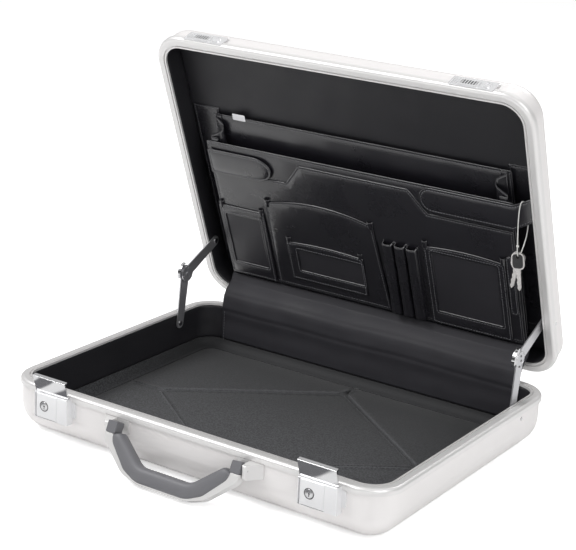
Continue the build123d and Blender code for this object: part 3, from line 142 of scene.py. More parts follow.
def leather_grain_group():
    """Pebbled grain with pores; Height feeds a bump, Pores is a mask of the valleys."""
    group, source, result = new_group("leather_grain", {"Scale": 900}, ("Height", "Pores"))
    where = source["Coordinates"]

    def vector_math(operation, first, second):
        return add_node(group, "VectorMath", {0: first, 1: second}, operation=operation).outputs[0]

    warp = vector_math("MULTIPLY", noise_node(group, where, 220, 2)["Color"], (0.0012, 0.0012, 0.0012))
    moved = vector_math("ADD", where, warp)
    cells = add_node(group, "TexVoronoi", {"Vector": moved, "Scale": source["Scale"]},
        feature="DISTANCE_TO_EDGE").outputs["Distance"]
    pebble = map_range(group, cells, 0, 0.35, 0, 1)
    fine = math_node(group, "MULTIPLY", noise_node(group, where, 2600, 3)["Fac"], 0.35)
    group.links.new(math_node(group, "ADD", pebble, fine), result["Height"])
    group.links.new(map_range(group, cells, 0, 0.08, 1, 0), result["Pores"])
    return group


def handling_group():
    """Broad smudges and fine scuffs that vary gloss and shade on a handled surface."""
    group, source, result = new_group("handling_marks", {"Smudge Scale": 14, "Scuff Scale": 400},
        ("Smudge", "Scuff"))
    where = source["Coordinates"]
    smudge = noise_node(group, where, source["Smudge Scale"], 4, 0.6)
    stretched = add_node(group, "Mapping", {"Vector": where, "Scale": (1, 0.18, 0.35)}).outputs[0]
    scuff = noise_node(group, stretched, source["Scuff Scale"], 5, 0.7)
    group.links.new(smudge["Fac"], result["Smudge"])
    group.links.new(scuff["Fac"], result["Scuff"])
    return group


def weave_group():
    """Plain weave of crossing threads as a height."""
    group, source, result = new_group("cloth_weave", {"Threads": 1100}, ("Height",))
    where = source["Coordinates"]
    split = split_xyz(group, where)
    rounds = []
    for axis in ("X", "Y"):
        turns = math_node(group, "MULTIPLY", source["Threads"], pi)
        rounds.append(math_node(group, "SINE", math_node(group, "MULTIPLY", split[axis], turns)))
    crossing = math_node(group, "MULTIPLY", math_node(group, "MULTIPLY", *rounds), 0.5)
    group.links.new(math_node(group, "ADD", crossing, noise_node(group, where, 1800, 4)["Fac"]),
        result["Height"])
    return group


LEATHER_GRAIN = leather_grain_group()
HANDLING = handling_group()
WEAVE = weave_group()


def new_material(name):
    """Material with a principled surface; also gives its tree and its object coordinates."""
    material = bpy.data.materials.new(name)
    material.use_nodes = True
    tree = material.node_tree
    tree.nodes.clear()
    shader = tree.nodes.new("ShaderNodeBsdfPrincipled")
    add_node(tree, "OutputMaterial", {"Surface": shader.outputs["BSDF"]})
    return material, tree, shader, add_node(tree, "TexCoord").outputs["Object"]


def handling_marks(tree, where, smudge_scale, scuff_scale):
    return add_node(tree, "Group", {"Coordinates": where, "Smudge Scale": smudge_scale,
        "Scuff Scale": scuff_scale}, node_tree=HANDLING).outputs


def set_surface(tree, shader, shade, dark, light, **values):
    """Base colour from dark to light by the shade, and the surface's other values."""
    colours = {"Factor": shade, "A": (*dark, 1), "B": (*light, 1)}
    values["Base_Color"] = add_node(tree, "Mix", colours, data_type="RGBA").outputs["Result"]
    for name, value in values.items():
        set_socket(tree, shader.inputs[name.replace("_", " ")], value)


def bump(tree, shader, height, distance, strength):
    node = add_node(tree, "Bump", {"Height": height, "Distance": distance, "Strength": strength})
    tree.links.new(node.outputs["Normal"], shader.inputs["Normal"])


def metal(name, dark, light, roughness, metallic, scuff_scale=400, depth=0, coat=0, coat_roughness=0.1):
    material, tree, shader, where = new_material(name)
    marks = handling_marks(tree, where, 14, scuff_scale)
    set_surface(tree, shader, marks["Smudge"], dark, light, Metallic=metallic, Coat_Weight=coat,
        Coat_Roughness=coat_roughness, Roughness=map_range(tree, marks["Scuff"], 0.25, 0.75, *roughness))
    if depth:
        bump(tree, shader, marks["Scuff"], depth, 0.6)
    return material


def leather(name, dark, light, grain, roughness, depth, coat=0):
    material, tree, shader, where = new_material(name)
    inputs = {"Coordinates": where, "Scale": grain}
    skin = add_node(tree, "Group", inputs, node_tree=LEATHER_GRAIN).outputs
    smudge = handling_marks(tree, where, 22, 300)["Smudge"]
    gloss = map_range(tree, smudge, 0.3, 0.7, *roughness)
    pores = math_node(tree, "MULTIPLY", skin["Pores"], 0.12)
    set_surface(tree, shader, smudge, dark, light, Coat_Weight=coat, Coat_Roughness=0.25,
        Roughness=math_node(tree, "ADD", gloss, pores))
    bump(tree, shader, skin["Height"], depth, 0.7)
    return material


def cloth(name, dark, light, threads, depth, painted_back_shade=None):
    """Woven cloth. Its last argument paints shade: it gives where along Y its flecks darken and how much is
    left of them; a painted highlight is added where the mesh holds one.
    """
    material, tree, shader, where = new_material(name)
    weave = add_node(tree, "Group", {"Coordinates": where, "Threads": threads}, node_tree=WEAVE)
    shade = handling_marks(tree, where, 18, 500)["Smudge"]
    if painted_back_shade:
        fleck = map_range(tree, noise_node(tree, where, 620, 1)["Fac"], 0.36, 0.64, 0.12, 0.88)
        start, end, left_over = painted_back_shade
        # Painted shade: the flecks and tone darken along Y from the start to the end
        shade = math_node(tree, "MULTIPLY", fleck,
            map_range(tree, split_xyz(tree, where)["Y"], start, end, 1, left_over))
        # Painted highlight beside the creases, kept on the floor's mesh
        painted_highlight = add_node(tree, "Attribute", attribute_name="painted_highlight").outputs["Fac"]
        shade = math_node(tree, "ADD", shade, math_node(tree, "MULTIPLY", painted_highlight, 0.6), clamp=True)
    set_surface(tree, shader, shade, dark, light, Roughness=0.72, Sheen_Weight=0.15)
    bump(tree, shader, weave.outputs["Height"], depth, 0.8)
    return material


SHELL = metal("satin_shell", (0.79, 0.77, 0.765), (0.83, 0.81, 0.805), (0.38, 0.42), 0.15,
    scuff_scale=900, coat=0.12, coat_roughness=0.3)
RIM = metal("anodised_rim", (0.74, 0.73, 0.725), (0.78, 0.77, 0.765), (0.32, 0.36), 0.35, scuff_scale=900)
SATIN = metal("satin_chrome", (0.8, 0.8, 0.81), (0.84, 0.84, 0.85), (0.3, 0.32), 0.35)
CHROME = metal("bright_chrome", (0.66, 0.66, 0.67), (0.74, 0.74, 0.75), (0.05, 0.09), 1)
KEEPER = metal("keeper_chrome", (0.8, 0.8, 0.81), (0.86, 0.86, 0.87), (0.14, 0.18), 0.5)
STEEL = metal("plain_steel", (0.4, 0.4, 0.4), (0.52, 0.52, 0.51), (0.25, 0.4), 1, depth=1e-5)
STAY = metal("plated_stay_steel", (0.56, 0.56, 0.58), (0.64, 0.64, 0.66), (0.28, 0.34), 0.82)
# Dark metal of small fittings; it also gives the painted shade between the keepers' ribs
DARK_FITTING_AND_SHADE = metal("dark_fittings", (0.07, 0.07, 0.07), (0.11, 0.11, 0.11), (0.3, 0.4), 0.8)
LEATHERETTE = leather("black_leatherette", (0.0075, 0.007, 0.0098), (0.014, 0.0133, 0.0172),
    1100, (0.24, 0.34), 5e-5, coat=0.95)
HINGE_LEATHER = leather("hinge_leatherette", (0.016, 0.0153, 0.0195), (0.026, 0.025, 0.031),
    1300, (0.58, 0.68), 6e-5)
LINING = leather("black_lining", (0.011, 0.0107, 0.0132), (0.0175, 0.017, 0.0205), 800, (0.42, 0.55), 8e-5)
# Painted shade: the floor cloth is darker towards its back, under the lid
FLOOR_CLOTH = cloth("grey_floor_cloth", (0.012, 0.0123, 0.014), (0.08, 0.0815, 0.088),
    900, 1.6e-4, painted_back_shade=(-0.04, 0.13, 0.06))
GRIP = leather("grey_grip_rubber", (0.13, 0.13, 0.14), (0.16, 0.16, 0.172), 1500, (0.4, 0.5), 3e-5)
KEY_NICKEL = metal("key_nickel", (0.52, 0.5, 0.49), (0.66, 0.64, 0.63), (0.22, 0.34), 0.75, depth=1e-5)
PLASTIC = metal("black_plastic", (0.01, 0.01, 0.011), (0.018, 0.018, 0.019), (0.25, 0.35), 0, depth=1e-5)
THREAD = cloth("black_thread", (0.09, 0.09, 0.1), (0.15, 0.15, 0.16), 2500, 2e-5)
CORD = cloth("pale_cord", (0.5, 0.5, 0.48), (0.62, 0.62, 0.6), 1600, 8e-5)
CARD = cloth("blank_card", (0.75, 0.75, 0.77), (0.82, 0.82, 0.84), 3000, 0.000004)
FILM = metal("window_vinyl", (0.022, 0.021, 0.025), (0.034, 0.033, 0.038), (0.34, 0.42), 0)


def dress(material, *names):
    for name in names:
        mesh = NODES[name].data
        mesh.materials.clear()
        mesh.materials.append(material)
        mesh.update()


def pair(*parts):
    return [f"{part}_{side}" for part in parts for side in ("left", "right")]


dress(SHELL, "base_shell", "lid_shell")
dress(RIM, "base_frame", "lid_frame", "handle_frame", *pair("handle_mount"), "hinge_base_leaves",
    "hinge_lid_leaves")
dress(SATIN, *pair("latch_housing", "latch_slide"))
dress(CHROME, *pair("lock_cylinder", "latch_hasp", "stay_tab"), "stay_base_rivets", "stay_lid_rivets")
dress(KEEPER, "lid_keepers")
dress(KEY_NICKEL, "key_blades")
dress(DARK_FITTING_AND_SHADE, "pocket_snap")
dress(STEEL, "base_rivets", "lid_rivets", "hasp_pins", "handle_pins", "hinge_pins", "handle_backing_plate")
dress(STAY, *pair("stay_lower", "stay_elbow", "stay_upper"))
dress(GRIP, "handle_grip", "handle_end_caps")
dress(PLASTIC, "key_bows")


# ---- meshes of the soft goods
def new_object(name, data):
    made = bpy.data.objects.new(name, data)
    bpy.context.scene.collection.objects.link(made)
    return made


def new_mesh(name, points, faces, material=None, smooth=True):
    mesh = bpy.data.meshes.new(name)
    mesh.from_pydata([tuple(p) for p in points], [], faces)
    mesh.validate()
    if material:
        mesh.materials.append(material)
    mesh.polygons.foreach_set("use_smooth", [smooth] * len(mesh.polygons))
    return new_object(name, mesh)


def new_piece(name, points, faces, material, body, replaces=(), smooth=True):
    piece = new_mesh(name, points, faces, material, smooth)
    if body:
        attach(piece, body)
    if replaces:
        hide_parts(*replaces)
    return piece


def corner_arcs(half_width, half_depth, radius, turns):
    """Corners of a rounded rectangle about the origin, anticlockwise from the right side."""
    arcs = []
    for sx, sy, start in ((1, 1, 0), (-1, 1, 90), (-1, -1, 180), (1, -1, 270)):
        angles = [radians(start + 90 * i / turns) for i in range(turns + 1)]
        arcs.append([(sx * (half_width - radius) + radius * cos(angle),
            sy * (half_depth - radius) + radius * sin(angle)) for angle in angles])
    return arcs


def between(a, b, count, first=0):
    """Evenly spread points from a towards b, without b."""
    return [(a[0] + (b[0] - a[0]) * i / count, a[1] + (b[1] - a[1]) * i / count) for i in range(first, count)]


def resample(points, step, nearest=0.05):
    """Closed outline with points added so that no side is longer than the step; corners stay."""
    result = []
    for a, b in zip(points, points[1:] + points[:1]):
        result += between(a, b, max(1, ceil(dist(a, b) / step)))
    cleaned = result[:1]
    for p in result[1:]:
        if dist(p, cleaned[-1]) > nearest:
            cleaned.append(p)
    if dist(cleaned[0], cleaned[-1]) < nearest:
        cleaned.pop()
    return cleaned


def rectangle(left, right, top, bottom, radius=1.5, step=2):
    turns = max(4, int(radius * pi / 2 / step) + 1)
    arcs = corner_arcs((right - left) / 2, (bottom - top) / 2, radius, turns)
    return [((left + right) / 2 + x, (top + bottom) / 2 + y) for x, y in resample(sum(arcs, []), step)]


def segment_distance(points, start, end):
    points, start, end = np.asarray(points, float), np.asarray(start), np.asarray(end)
    run = end - start
    t = np.clip((points - start) @ run / max(run @ run, 1e-12), 0, 1)
    return np.hypot(*(points - start - t[:, None] * run).T)


def edge_distance(points, outline):
    """Distance of each point to a closed outline."""
    corners = np.asarray(outline, float)
    return np.min([segment_distance(points, a, b) for a, b in zip(corners, np.roll(corners, -1, 0))], 0)


def inside(points, outline):
    points, a = np.asarray(points, float), np.asarray(outline, float)
    result = np.zeros(len(points), bool)
    for (x0, y0), (x1, y1) in zip(a, np.roll(a, -1, 0)):
        crosses = (y0 > points[:, 1]) != (y1 > points[:, 1])
        with np.errstate(divide="ignore", invalid="ignore"):
            at = (x1 - x0) * (points[:, 1] - y0) / (y1 - y0) + x0
        result ^= crosses & (points[:, 0] < at)
    return result


def inset(outline, amount):
    """Closed outline moved inwards along its corner bisectors; the outline runs anticlockwise."""
    a = np.asarray(outline, float)
    before = a - np.roll(a, 1, 0)
    after = np.roll(a, -1, 0) - a
    before /= np.linalg.norm(before, axis=1)[:, None]
    after /= np.linalg.norm(after, axis=1)[:, None]
    normal = np.stack([-(before + after)[:, 1], (before + after)[:, 0]], 1)
    normal /= np.maximum(np.linalg.norm(normal, axis=1), 1e-6)[:, None]
    half = np.maximum((normal * np.stack([-after[:, 1], after[:, 0]], 1)).sum(1), 0.5)
    return [tuple(p) for p in a + normal * (amount / half)[:, None]]


def anticlockwise(outline):
    area = sum(a[0] * b[1] - b[0] * a[1] for a, b in zip(outline, outline[1:] + outline[:1]))
    return outline if area > 0 else outline[::-1]


def fill(outline, holes, grid, rings, lines=()):
    """Triangles over an outline with finer rows along its edges; returns points, faces."""
    loops = [anticlockwise(loop) for loop in (outline, *holes)]
    points, edges = [], []
    for row in (*loops, *lines):
        first, count = len(points), len(row)
        points += row
        edges += [(first + i, first + (i + 1) % count) for i in range(count - (row in lines))]
    extra = []
    for amount in rings:
        extra += inset(loops[0], amount)
        for hole in loops[1:]:
            extra += inset(hole, -amount)
    low, high = np.min(loops[0], 0), np.max(loops[0], 0)
    xs = np.arange(low[0] + grid / 2, high[0], grid)
    ys = np.arange(low[1] + grid / 2, high[1], grid)
    inner = [(x + (grid / 2 if row % 2 else 0), y) for row, y in enumerate(ys) for x in xs]
    for spread, clear in ((extra, 0.2), (inner, max(rings) + grid * 0.35)):
        keep = inside(spread, loops[0]) & (edge_distance(spread, loops[0]) > clear)
        for hole in loops[1:]:
            keep &= ~inside(spread, hole) & (edge_distance(spread, hole) > clear)
        points += [p for p, kept in zip(spread, keep) if kept]
    out = geometry.delaunay_2d_cdt([Vector(p) for p in points], edges, [], 0, 1e-5)
    verts, faces = [tuple(v) for v in out[0]], out[2]
    centres = [np.mean([verts[i] for i in f], 0) for f in faces]
    good = inside(centres, loops[0])
    for hole in loops[1:]:
        good &= ~inside(centres, hole)
    return verts, [list(f) for f, kept in zip(faces, good) if kept]


def boundary_edges(faces):
    seen = dict.fromkeys((a, b) for f in faces for a, b in zip(f, f[1:] + f[:1]))
    return [(a, b) for a, b in seen if (b, a) not in seen]


def slab(flat, faces, place, front, back):
    """Closed body from a flat mesh; front and back give each point's depth."""
    used = sorted({i for f in faces for i in f})
    index = {old: new for new, old in enumerate(used)}
    faces = [[index[i] for i in f] for f in faces]
    count = len(used)
    points = [place(*flat[i], side[i]) for side in (front, back) for i in used]
    solid = [f[::-1] for f in faces] + [[i + count for i in f] for f in faces]
    solid += [[a, b, b + count, a + count] for a, b in boundary_edges(faces)]
    return points, solid


def wrinkle(x, y, size, seed):
    return noise.noise(Vector((x / size, y / size, seed)))


STITCH_LINES = {"lid": [], "base": []}


def leather_panel(name, outline, face, replaces=(), thickness=FOLDED, holes=(), puff=0.6, crumple=0.35,
        seed=1, groove=2.6, stitched=True, corner_step=3, place=lid_point, material=LEATHERETTE, grid=6,
        bend=lambda x, y: 0):
    """Sewn leatherette panel: rolled edges, a stitched groove and a slightly uneven face."""
    outline, *holes = [anticlockwise(resample(loop, corner_step)) for loop in (outline, *holes)]
    rings = (0.3, 0.8, 1.6) + ((groove - 0.5, groove, groove + 0.5) if stitched else ())
    flat, faces = fill(outline, holes, grid, rings)
    gap = np.min([edge_distance(flat, loop) for loop in (outline, *holes)], 0)
    roll = min(thickness * 0.5, 0.8)
    front, back = [], []
    for (x, y), d in zip(flat, gap):
        edge = roll * (1 - sqrt(max(0, 1 - max(0, 1 - d / roll) ** 2)))
        soft = puff * (1 - exp(-max(0, d - groove) / 7)) if stitched else 0
        line = 0.28 * exp(-(((d - groove) / 0.45) ** 2)) if stitched else 0
        crease = crumple * wrinkle(x, y, 26, seed) * min(1, d / 6)
        shift = bend(x, y)
        front.append(face + edge - soft + line + crease + shift)
        back.append(face + thickness - min(edge, thickness * 0.3) + shift)
    points, solid = slab(flat, faces, place, front, back)
    if stitched:
        for path in (inset(outline, groove), *(inset(hole, -groove) for hole in holes)):
            STITCH_LINES["lid"].append([place(x, y, face + bend(x, y) - 0.02) for x, y in path + path[:1]])
    return new_piece(name, points, solid, material, "lid", replaces)


# ---- linings and padded floor
CORNER_STEPS = 12
LONG_STEPS = 72
SHORT_STEPS = 54


def opening_ring(offset):
    """Outline of the case's opening moved out by the offset; every offset gives the same count."""
    arcs = corner_arcs(OPENING_WIDTH / 2 + offset, HALF_DEPTH + offset, OPENING_RADIUS + offset, CORNER_STEPS)
    points = []
    for arc, following, steps in zip(arcs, arcs[1:] + arcs[:1], (LONG_STEPS, SHORT_STEPS) * 2):
        points += arc + between(arc[-1], following[0], steps, 1)
    return points


def circle(count):
    return [tau * i / count for i in range(count)]


def joined_rings(rings, closed=False, capped=False):
    """Quads between rings of equal count, which run anticlockwise seen from the last one's side."""
    count = len(rings[0])
    pairs = list(zip(range(len(rings)), range(1, len(rings)))) + [(len(rings) - 1, 0)] * closed
    faces = []
    for low, high in [(low * count, high * count) for low, high in pairs]:
        faces += [[low + i, low + (i + 1) % count, high + (i + 1) % count, high + i] for i in range(count)]
    points = [p for ring in rings for p in ring]
    if capped:
        faces += [list(range(count))[::-1], list(range(len(points) - count, len(points)))]
    return points, faces


def wall_lining(body, place, bottom, top, seed):
    """Leatherette glued round the walls, with soft ripples and a turned edge."""
    steps = max(6, int((top - bottom) / 3))
    rings = []
    for z in [bottom + (top - bottom) * i / steps for i in range(steps + 1)]:
        edge = min(z - bottom, top - z)
        ring = []
        for x, y in opening_ring(0.3):
            ripple = 0.22 * wrinkle(x + y, z * 2, 17, seed) * min(1, edge / 5)
            scale = 1 + (ripple + (0.35 if edge < 0.1 else 0)) / 200
            ring.append(place(x * scale, y * scale + HALF_DEPTH, z))
        rings.append(ring)
    for z in (top, bottom):
        rings.append([place(x, y + HALF_DEPTH, z) for x, y in opening_ring(1.75)])
    points, faces = joined_rings(rings[::-1], closed=True)
    return new_piece(f"{body}_wall_leather", points, faces, LINING, body, [f"{body}_wall_lining"])


FLOOR_MIDDLE = 4


def crease_lines():
    """The lozenge pressed into the floor and the creases from its corners to the walls."""
    half_width, half_depth, from_wall = 164, 123, 13
    left, right = (-half_width, FLOOR_MIDDLE), (half_width, FLOOR_MIDDLE)
    back, front = (0, FLOOR_MIDDLE + half_depth), (0, FLOOR_MIDDLE - half_depth)
    reach_x, reach_y = OPENING_WIDTH / 2 - from_wall, HALF_DEPTH - from_wall
    return [(left, back), (back, right), (right, front), (front, left), ((-reach_x, FLOOR_MIDDLE), left),
        (right, (reach_x, FLOOR_MIDDLE)), (back, (0, reach_y)), ((0, -reach_y), front)]


def outer_side(points, start, end):
    """Whether each point lies beyond a crease, seen from the floor's middle."""
    (x0, y0), (x1, y1) = start, end
    turn = (x1 - x0) * (points[:, 1] - y0) - (y1 - y0) * (points[:, 0] - x0)
    middle = (x1 - x0) * (FLOOR_MIDDLE - y0) - (y1 - y0) * (0 - x0)
    return turn * middle < -1e-6


def floor_pad():
    """Cloth-covered foam floor with heat-pressed creases, a painted highlight beside each, and a rolled edge
    up the walls.
    """
    rim_offset = -FLOOR_COVE + 0.3
    flat_ring = opening_ring(rim_offset)
    creases = crease_lines()
    rows = []
    for start, end in creases:
        run = np.subtract(end, start)
        across = np.array([-run[1], run[0]]) / np.hypot(*run)
        short_of_ends = run / np.hypot(*run) * 7
        for shift in (-5, -3.4, -2.2, -1.1, 0, 1.1, 2.2, 3.4, 5):
            a = np.asarray(start) + across * shift + short_of_ends
            b = np.asarray(end) + across * shift - short_of_ends
            count = int(np.hypot(*(b - a)) / 5)
            rows.append([tuple(a + (b - a) * i / count) for i in range(count + 1)])
    flat, faces = fill(flat_ring, (), 5.5, (1.2,), rows)
    flat = np.asarray(flat)
    gaps = np.array([segment_distance(flat, *line) for line in creases])
    gap = gaps.min(0)
    outer = np.array([outer_side(flat, *line) for line in creases])[gaps.argmin(0), range(len(flat))]
    rim = edge_distance(flat, flat_ring)
    top = []
    for (x, y), d, e, beyond in zip(flat, gap, rim, outer):
        ridge = 2 if beyond else 1
        crease = 2.6 * exp(-((d / 1.3) ** 2)) - ridge * exp(-(((d - 2.7) / 1.2) ** 2))
        crease *= min(1, e / 6)
        dome = 0.9 * (1 - exp(-d / 9)) * min(1, e / 18)
        wave = 0.35 * wrinkle(x, y, 60, 3) * min(1, e / 12)
        top.append(FLOOR_TOP + dome + wave - crease)
    count = len(flat)
    points = [base_point(x, y + HALF_DEPTH, z) for (x, y), z in zip(flat, top)]
    points += [base_point(x, y + HALF_DEPTH, 1.5) for x, y in flat]
    solid = faces + [[i + count for i in f[::-1]] for f in faces]
    following = dict(boundary_edges(faces))
    order = [min(following)]
    while following[order[-1]] != order[0]:
        order.append(following[order[-1]])
    profile = [(rim_offset + FLOOR_COVE * sin(t), FLOOR_TOP + FLOOR_COVE * (1 - cos(t)))
        for t in np.radians(range(12, 83, 10)).tolist()]
    profile += [(0.35, FLOOR_EDGE - 0.3), (0.8, FLOOR_EDGE), (4, FLOOR_EDGE), (1, 9), (-6, 4.2),
        (rim_offset, 1.9)]
    nearest = [int(np.argmin(np.hypot(*(np.asarray(flat_ring) - flat[i]).T))) for i in order]
    loops = [order]
    for offset, z in profile:
        ring = opening_ring(offset)
        loops.append(range(len(points), len(points) + len(order)))
        points += [base_point(ring[i][0], ring[i][1] + HALF_DEPTH, z) for i in nearest]
    loops.append([i + count for i in order])
    for low, high in zip(loops, loops[1:]):
        for k in range(len(order)):
            j = (k + 1) % len(order)
            solid.append([low[j], high[j], high[k], low[k]])
    piece = new_piece("floor_pad", points, solid, FLOOR_CLOTH, "base", ["base_floor_pad"])
    # Painted highlight: a light line beside the outer ridge of each crease
    crease_highlight = np.zeros(len(points), np.float32)
    crease_highlight[:count] = np.exp(-(((gap - 2.4) / 0.9) ** 2)) * outer * np.minimum(1, rim / 8)
    piece.data.attributes.new("painted_highlight", "FLOAT", "POINT").data.foreach_set("value", crease_highlight)
    return piece


floor_pad()
wall_lining("base", base_point, FLOOR_EDGE, BASE_DEPTH - FRAME_WEB - 0.05, 5)
wall_lining("lid", lid_point, FRAME_WEB + 0.05, PANEL_FACE, 9)
leather_panel("lid_panel_leather", [(x, y + HALF_DEPTH) for x, y in opening_ring(1.7)], PANEL_FACE,
    ["lid_panel_lining"], 2.9, stitched=False, crumple=0.5, seed=21, grid=9, material=LINING, corner_step=8)


# ---- strip over the hinge
def rounded_path(points, radii, step):
    """Polyline with its corners rounded, sampled about every step."""
    path = [Vector(points[0])]
    for number, radius in enumerate(radii, 1):
        corner = Vector(points[number])
        before = (Vector(points[number - 1]) - corner).normalized()
        after = (Vector(points[number + 1]) - corner).normalized()
        half = acos(max(-1, min(1, before.dot(after)))) / 2
        reach = radius / tan(half)
        centre = corner + (before + after).normalized() * radius / sin(half)
        a, b = corner + before * reach - centre, corner + after * reach - centre
        turn = acos(max(-1, min(1, a.dot(b) / radius ** 2)))
        count = max(4, int(radius * turn / step) + 1)
        for share in [i / count for i in range(count + 1)]:
            blend = (a * sin((1 - share) * turn) + b * sin(share * turn)) / sin(turn)
            path.append(centre + blend)
    path.append(Vector(points[-1]))
    result = [path[0]]
    for a, b in zip(path, path[1:]):
        count = max(1, round((b - a).length / step))
        result += [a.lerp(b, i / count) for i in range(1, count + 1) if (b - a).length > 1e-4]
    return result


def with_ways(path):
    """Each point of a path with the way the path runs there."""
    return [(place, path[min(k + 1, len(path) - 1)] - path[max(k - 1, 0)]) for k, place in enumerate(path)]


def strip_piece(name, columns, thickness, body, replaces=(), material=LEATHERETTE):
    """Closed sheet from columns of (point, outward normal); the back lies the thickness behind."""
    rows = len(columns[0])
    points = [p for column in columns for p, normal in column]
    shift = len(points)
    points += [p - normal * (thickness * MM) for column in columns for p, normal in column]
    faces = []
    for a in [i for i in range(shift - rows) if (i + 1) % rows]:
        b = a + rows
        faces += [[a, b, b + 1, a + 1], [a + shift, a + 1 + shift, b + 1 + shift, b + shift]]
    for a in range(rows - 1):
        b = a + shift - rows
        faces += [[a, a + 1, a + 1 + shift, a + shift], [b, b + shift, b + 1 + shift, b + 1]]
    for a in range(0, shift - rows, rows):
        b = a + rows
        faces += [[a, a + shift, b + shift, b], [b - 1, b - 1 + rows, b - 1 + rows + shift, b - 1 + shift]]
    return new_piece(name, points, faces, material, body, replaces)


STRIP_HALF = 195
STRIP_STEPS = 130
STRIP_PATH = rounded_path([(OPENING_DEPTH - 0.6, -41.8), (OPENING_DEPTH - 0.6, 12), (338.6, 27),
    (342, 36.6)], (16, 8), 2)


def hinge_strip():
    """Leatherette strip from the floor's back edge to the lid's panel, slack and softly folded."""
    columns = []
    for x in [-STRIP_HALF + 2 * STRIP_HALF * i / STRIP_STEPS for i in range(STRIP_STEPS + 1)]:
        column = []
        for k, (place, ahead) in enumerate(with_ways(STRIP_PATH)):
            normal = Vector((0, -ahead.y, ahead.x)).normalized()
            share = k / (len(STRIP_PATH) - 1)
            slack = sin(pi * share)
            ripple = 0.8 * wrinkle(x * 0.45, share * 60, 14, 31) * slack
            ripple += 0.6 * sin(share * 19 + 0.9 * wrinkle(x, 0, 90, 7)) * slack
            for fold, depth in ((0.4, 0.9), (0.66, 0.7)):
                drift = 0.035 * wrinkle(x, fold, 120, 3)
                ripple -= depth * exp(-(((share - fold - drift) / 0.022) ** 2))
            point = Vector((x, FRONT_Y + place.x, BASE_DEPTH + place.y)) + normal * (SINGLE / 2 + ripple)
            column.append((point * MM, normal))
        columns.append(column)
    return strip_piece("hinge_strip", columns, SINGLE, None, ["hinge_gusset"], HINGE_LEATHER)


strip = hinge_strip()
for side in (-1, 1):
    STITCH_LINES["base"].append([(Vector((side * 191.5, FRONT_Y + place.x - 1.35, BASE_DEPTH + place.y)) * MM)
        for place in STRIP_PATH if place.y < -8])
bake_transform(strip)


# ---- organizer
def bottom_fold(name, half_width, face, foot):
    """Bottom of a pocket, turned back from its face to the lid's lining."""
    leather_panel(name, rectangle(-half_width, half_width, face + 1, PANEL_FACE - SEAM, 0.8), 0,
        stitched=False, crumple=0.1, grid=7, place=lambda x, y, z: lid_point(x, foot - z, y))


FILE_TOP, FILE_FOOT = 93, 303
ORGANIZER_TOP, ORGANIZER_FOOT = 121.5, 306
leather_panel("file_leather", rectangle(-186, 186, FILE_TOP, FILE_FOOT), FILE_FACE, ["file_pocket_panel"],
    seed=2, crumple=0.5)
bottom_fold("file_bottom", 186, FILE_FACE, FILE_FOOT)
leather_panel("organizer_leather", rectangle(-192, 192, ORGANIZER_TOP, ORGANIZER_FOOT), ORGANIZER_FACE,
    ["organizer_panel"], seed=3, crumple=0.5)
bottom_fold("organizer_bottom", 192, ORGANIZER_FACE, ORGANIZER_FOOT)


def lid_sheet(name, path, top, foot, rows, sag, replaces):
    """Sheet that follows a path across the lid and runs from its top, by place, down to its foot."""
    columns = []
    for place, ahead in with_ways(path):
        across = Vector((ahead.y, -ahead.x)).normalized()
        normal = lid_way(across.x, across.y)
        start = top(place)
        ys = [start + (foot - start) * i / rows for i in range(rows + 1)]
        columns.append([(lid_point(place.x, y, place.y) + normal * sag(place.x, y) * MM, normal) for y in ys])
    return strip_piece(name, columns, SINGLE, "lid", replaces)


def file_gusset(side, label):
    """Folded side of the file pocket, cut slanting at its mouth."""
    front = ORGANIZER_FACE + FOLDED + SEAM + SINGLE / 2
    back = FILE_FACE - SEAM - SINGLE / 2
    corners = [(176, front), (190, front), (164, (front + back) / 2), (185, back), (174, back)]
    path = rounded_path([(side * x, z) for x, z in corners], (0.6, 2, 0.6), 1.2)[::-side]
    lid_sheet(f"file_gusset_{label}", path, lambda place: 92 + (FILE_FACE - place.y) * 29.5 / 14.5, 302, 60,
        lambda x, y: SINGLE / 2 + 0.3 * wrinkle(x * 3, y, 15, 11 + side),
        ["file_gussets"] if side < 0 else [])


for side, label in ((-1, "left"), (1, "right")):
    file_gusset(side, label)
    leather_panel(f"side_strip_{label}", rectangle(*sorted((side * 180, side * 216)), 88, 292, 1),
        PANEL_FACE - SEAM - SINGLE, (), SINGLE, puff=0.1, seed=40 + side, groove=2)

STEP = [(-190, 156.5), (-90, 156.5), (-69, 130), (69, 130), (90, 156.5), (190, 156.5), (190, 302),
    (-190, 302)]
leather_panel("mid_pocket_leather", STEP, STEP_FACE, ["mid_pocket"], seed=4, crumple=0.3, puff=0.2)


def flap_end(start, tip, top, bottom, count=14):
    """Half ellipse from the flap's top edge round its tip to its bottom edge."""
    return [(start + (tip - start) * cos(radians(a)),
        (top + bottom) / 2 + (bottom - top) / 2 * sin(radians(a))) for a in np.linspace(-90, 90, count)]


def strap_bend(x, y):
    """The strap curves away from the panel towards the lid's wall."""
    return 5 * max(0, (x - 196) / 20.8) ** 2


leather_panel("tongue_leather", flap_end(-128, -106, 130, 161) + [(-190, 161), (-190, 130)], POCKET_FACE,
    ["tongue_flap"], seed=5, crumple=0.3, puff=0.9)
STRAP = flap_end(98, 83, 121, 152) + [(192, 152), (216.6, 138), (216.6, 110), (192, 121)]
leather_panel("strap_leather", STRAP, POCKET_FACE, ["strap_flap"], seed=6, crumple=0.25, puff=0.8,
    bend=strap_bend, grid=4)


def arched(left, right, top, bottom, rise, count=17):
    """Rectangle whose top edge is arched upwards by the rise."""
    shares = [-1 + 2 * i / (count - 1) for i in range(count)]
    return [(left + (right - left) * (t + 1) / 2, top + rise * t * t) for t in shares] + [
        (right, bottom), (left, bottom)]


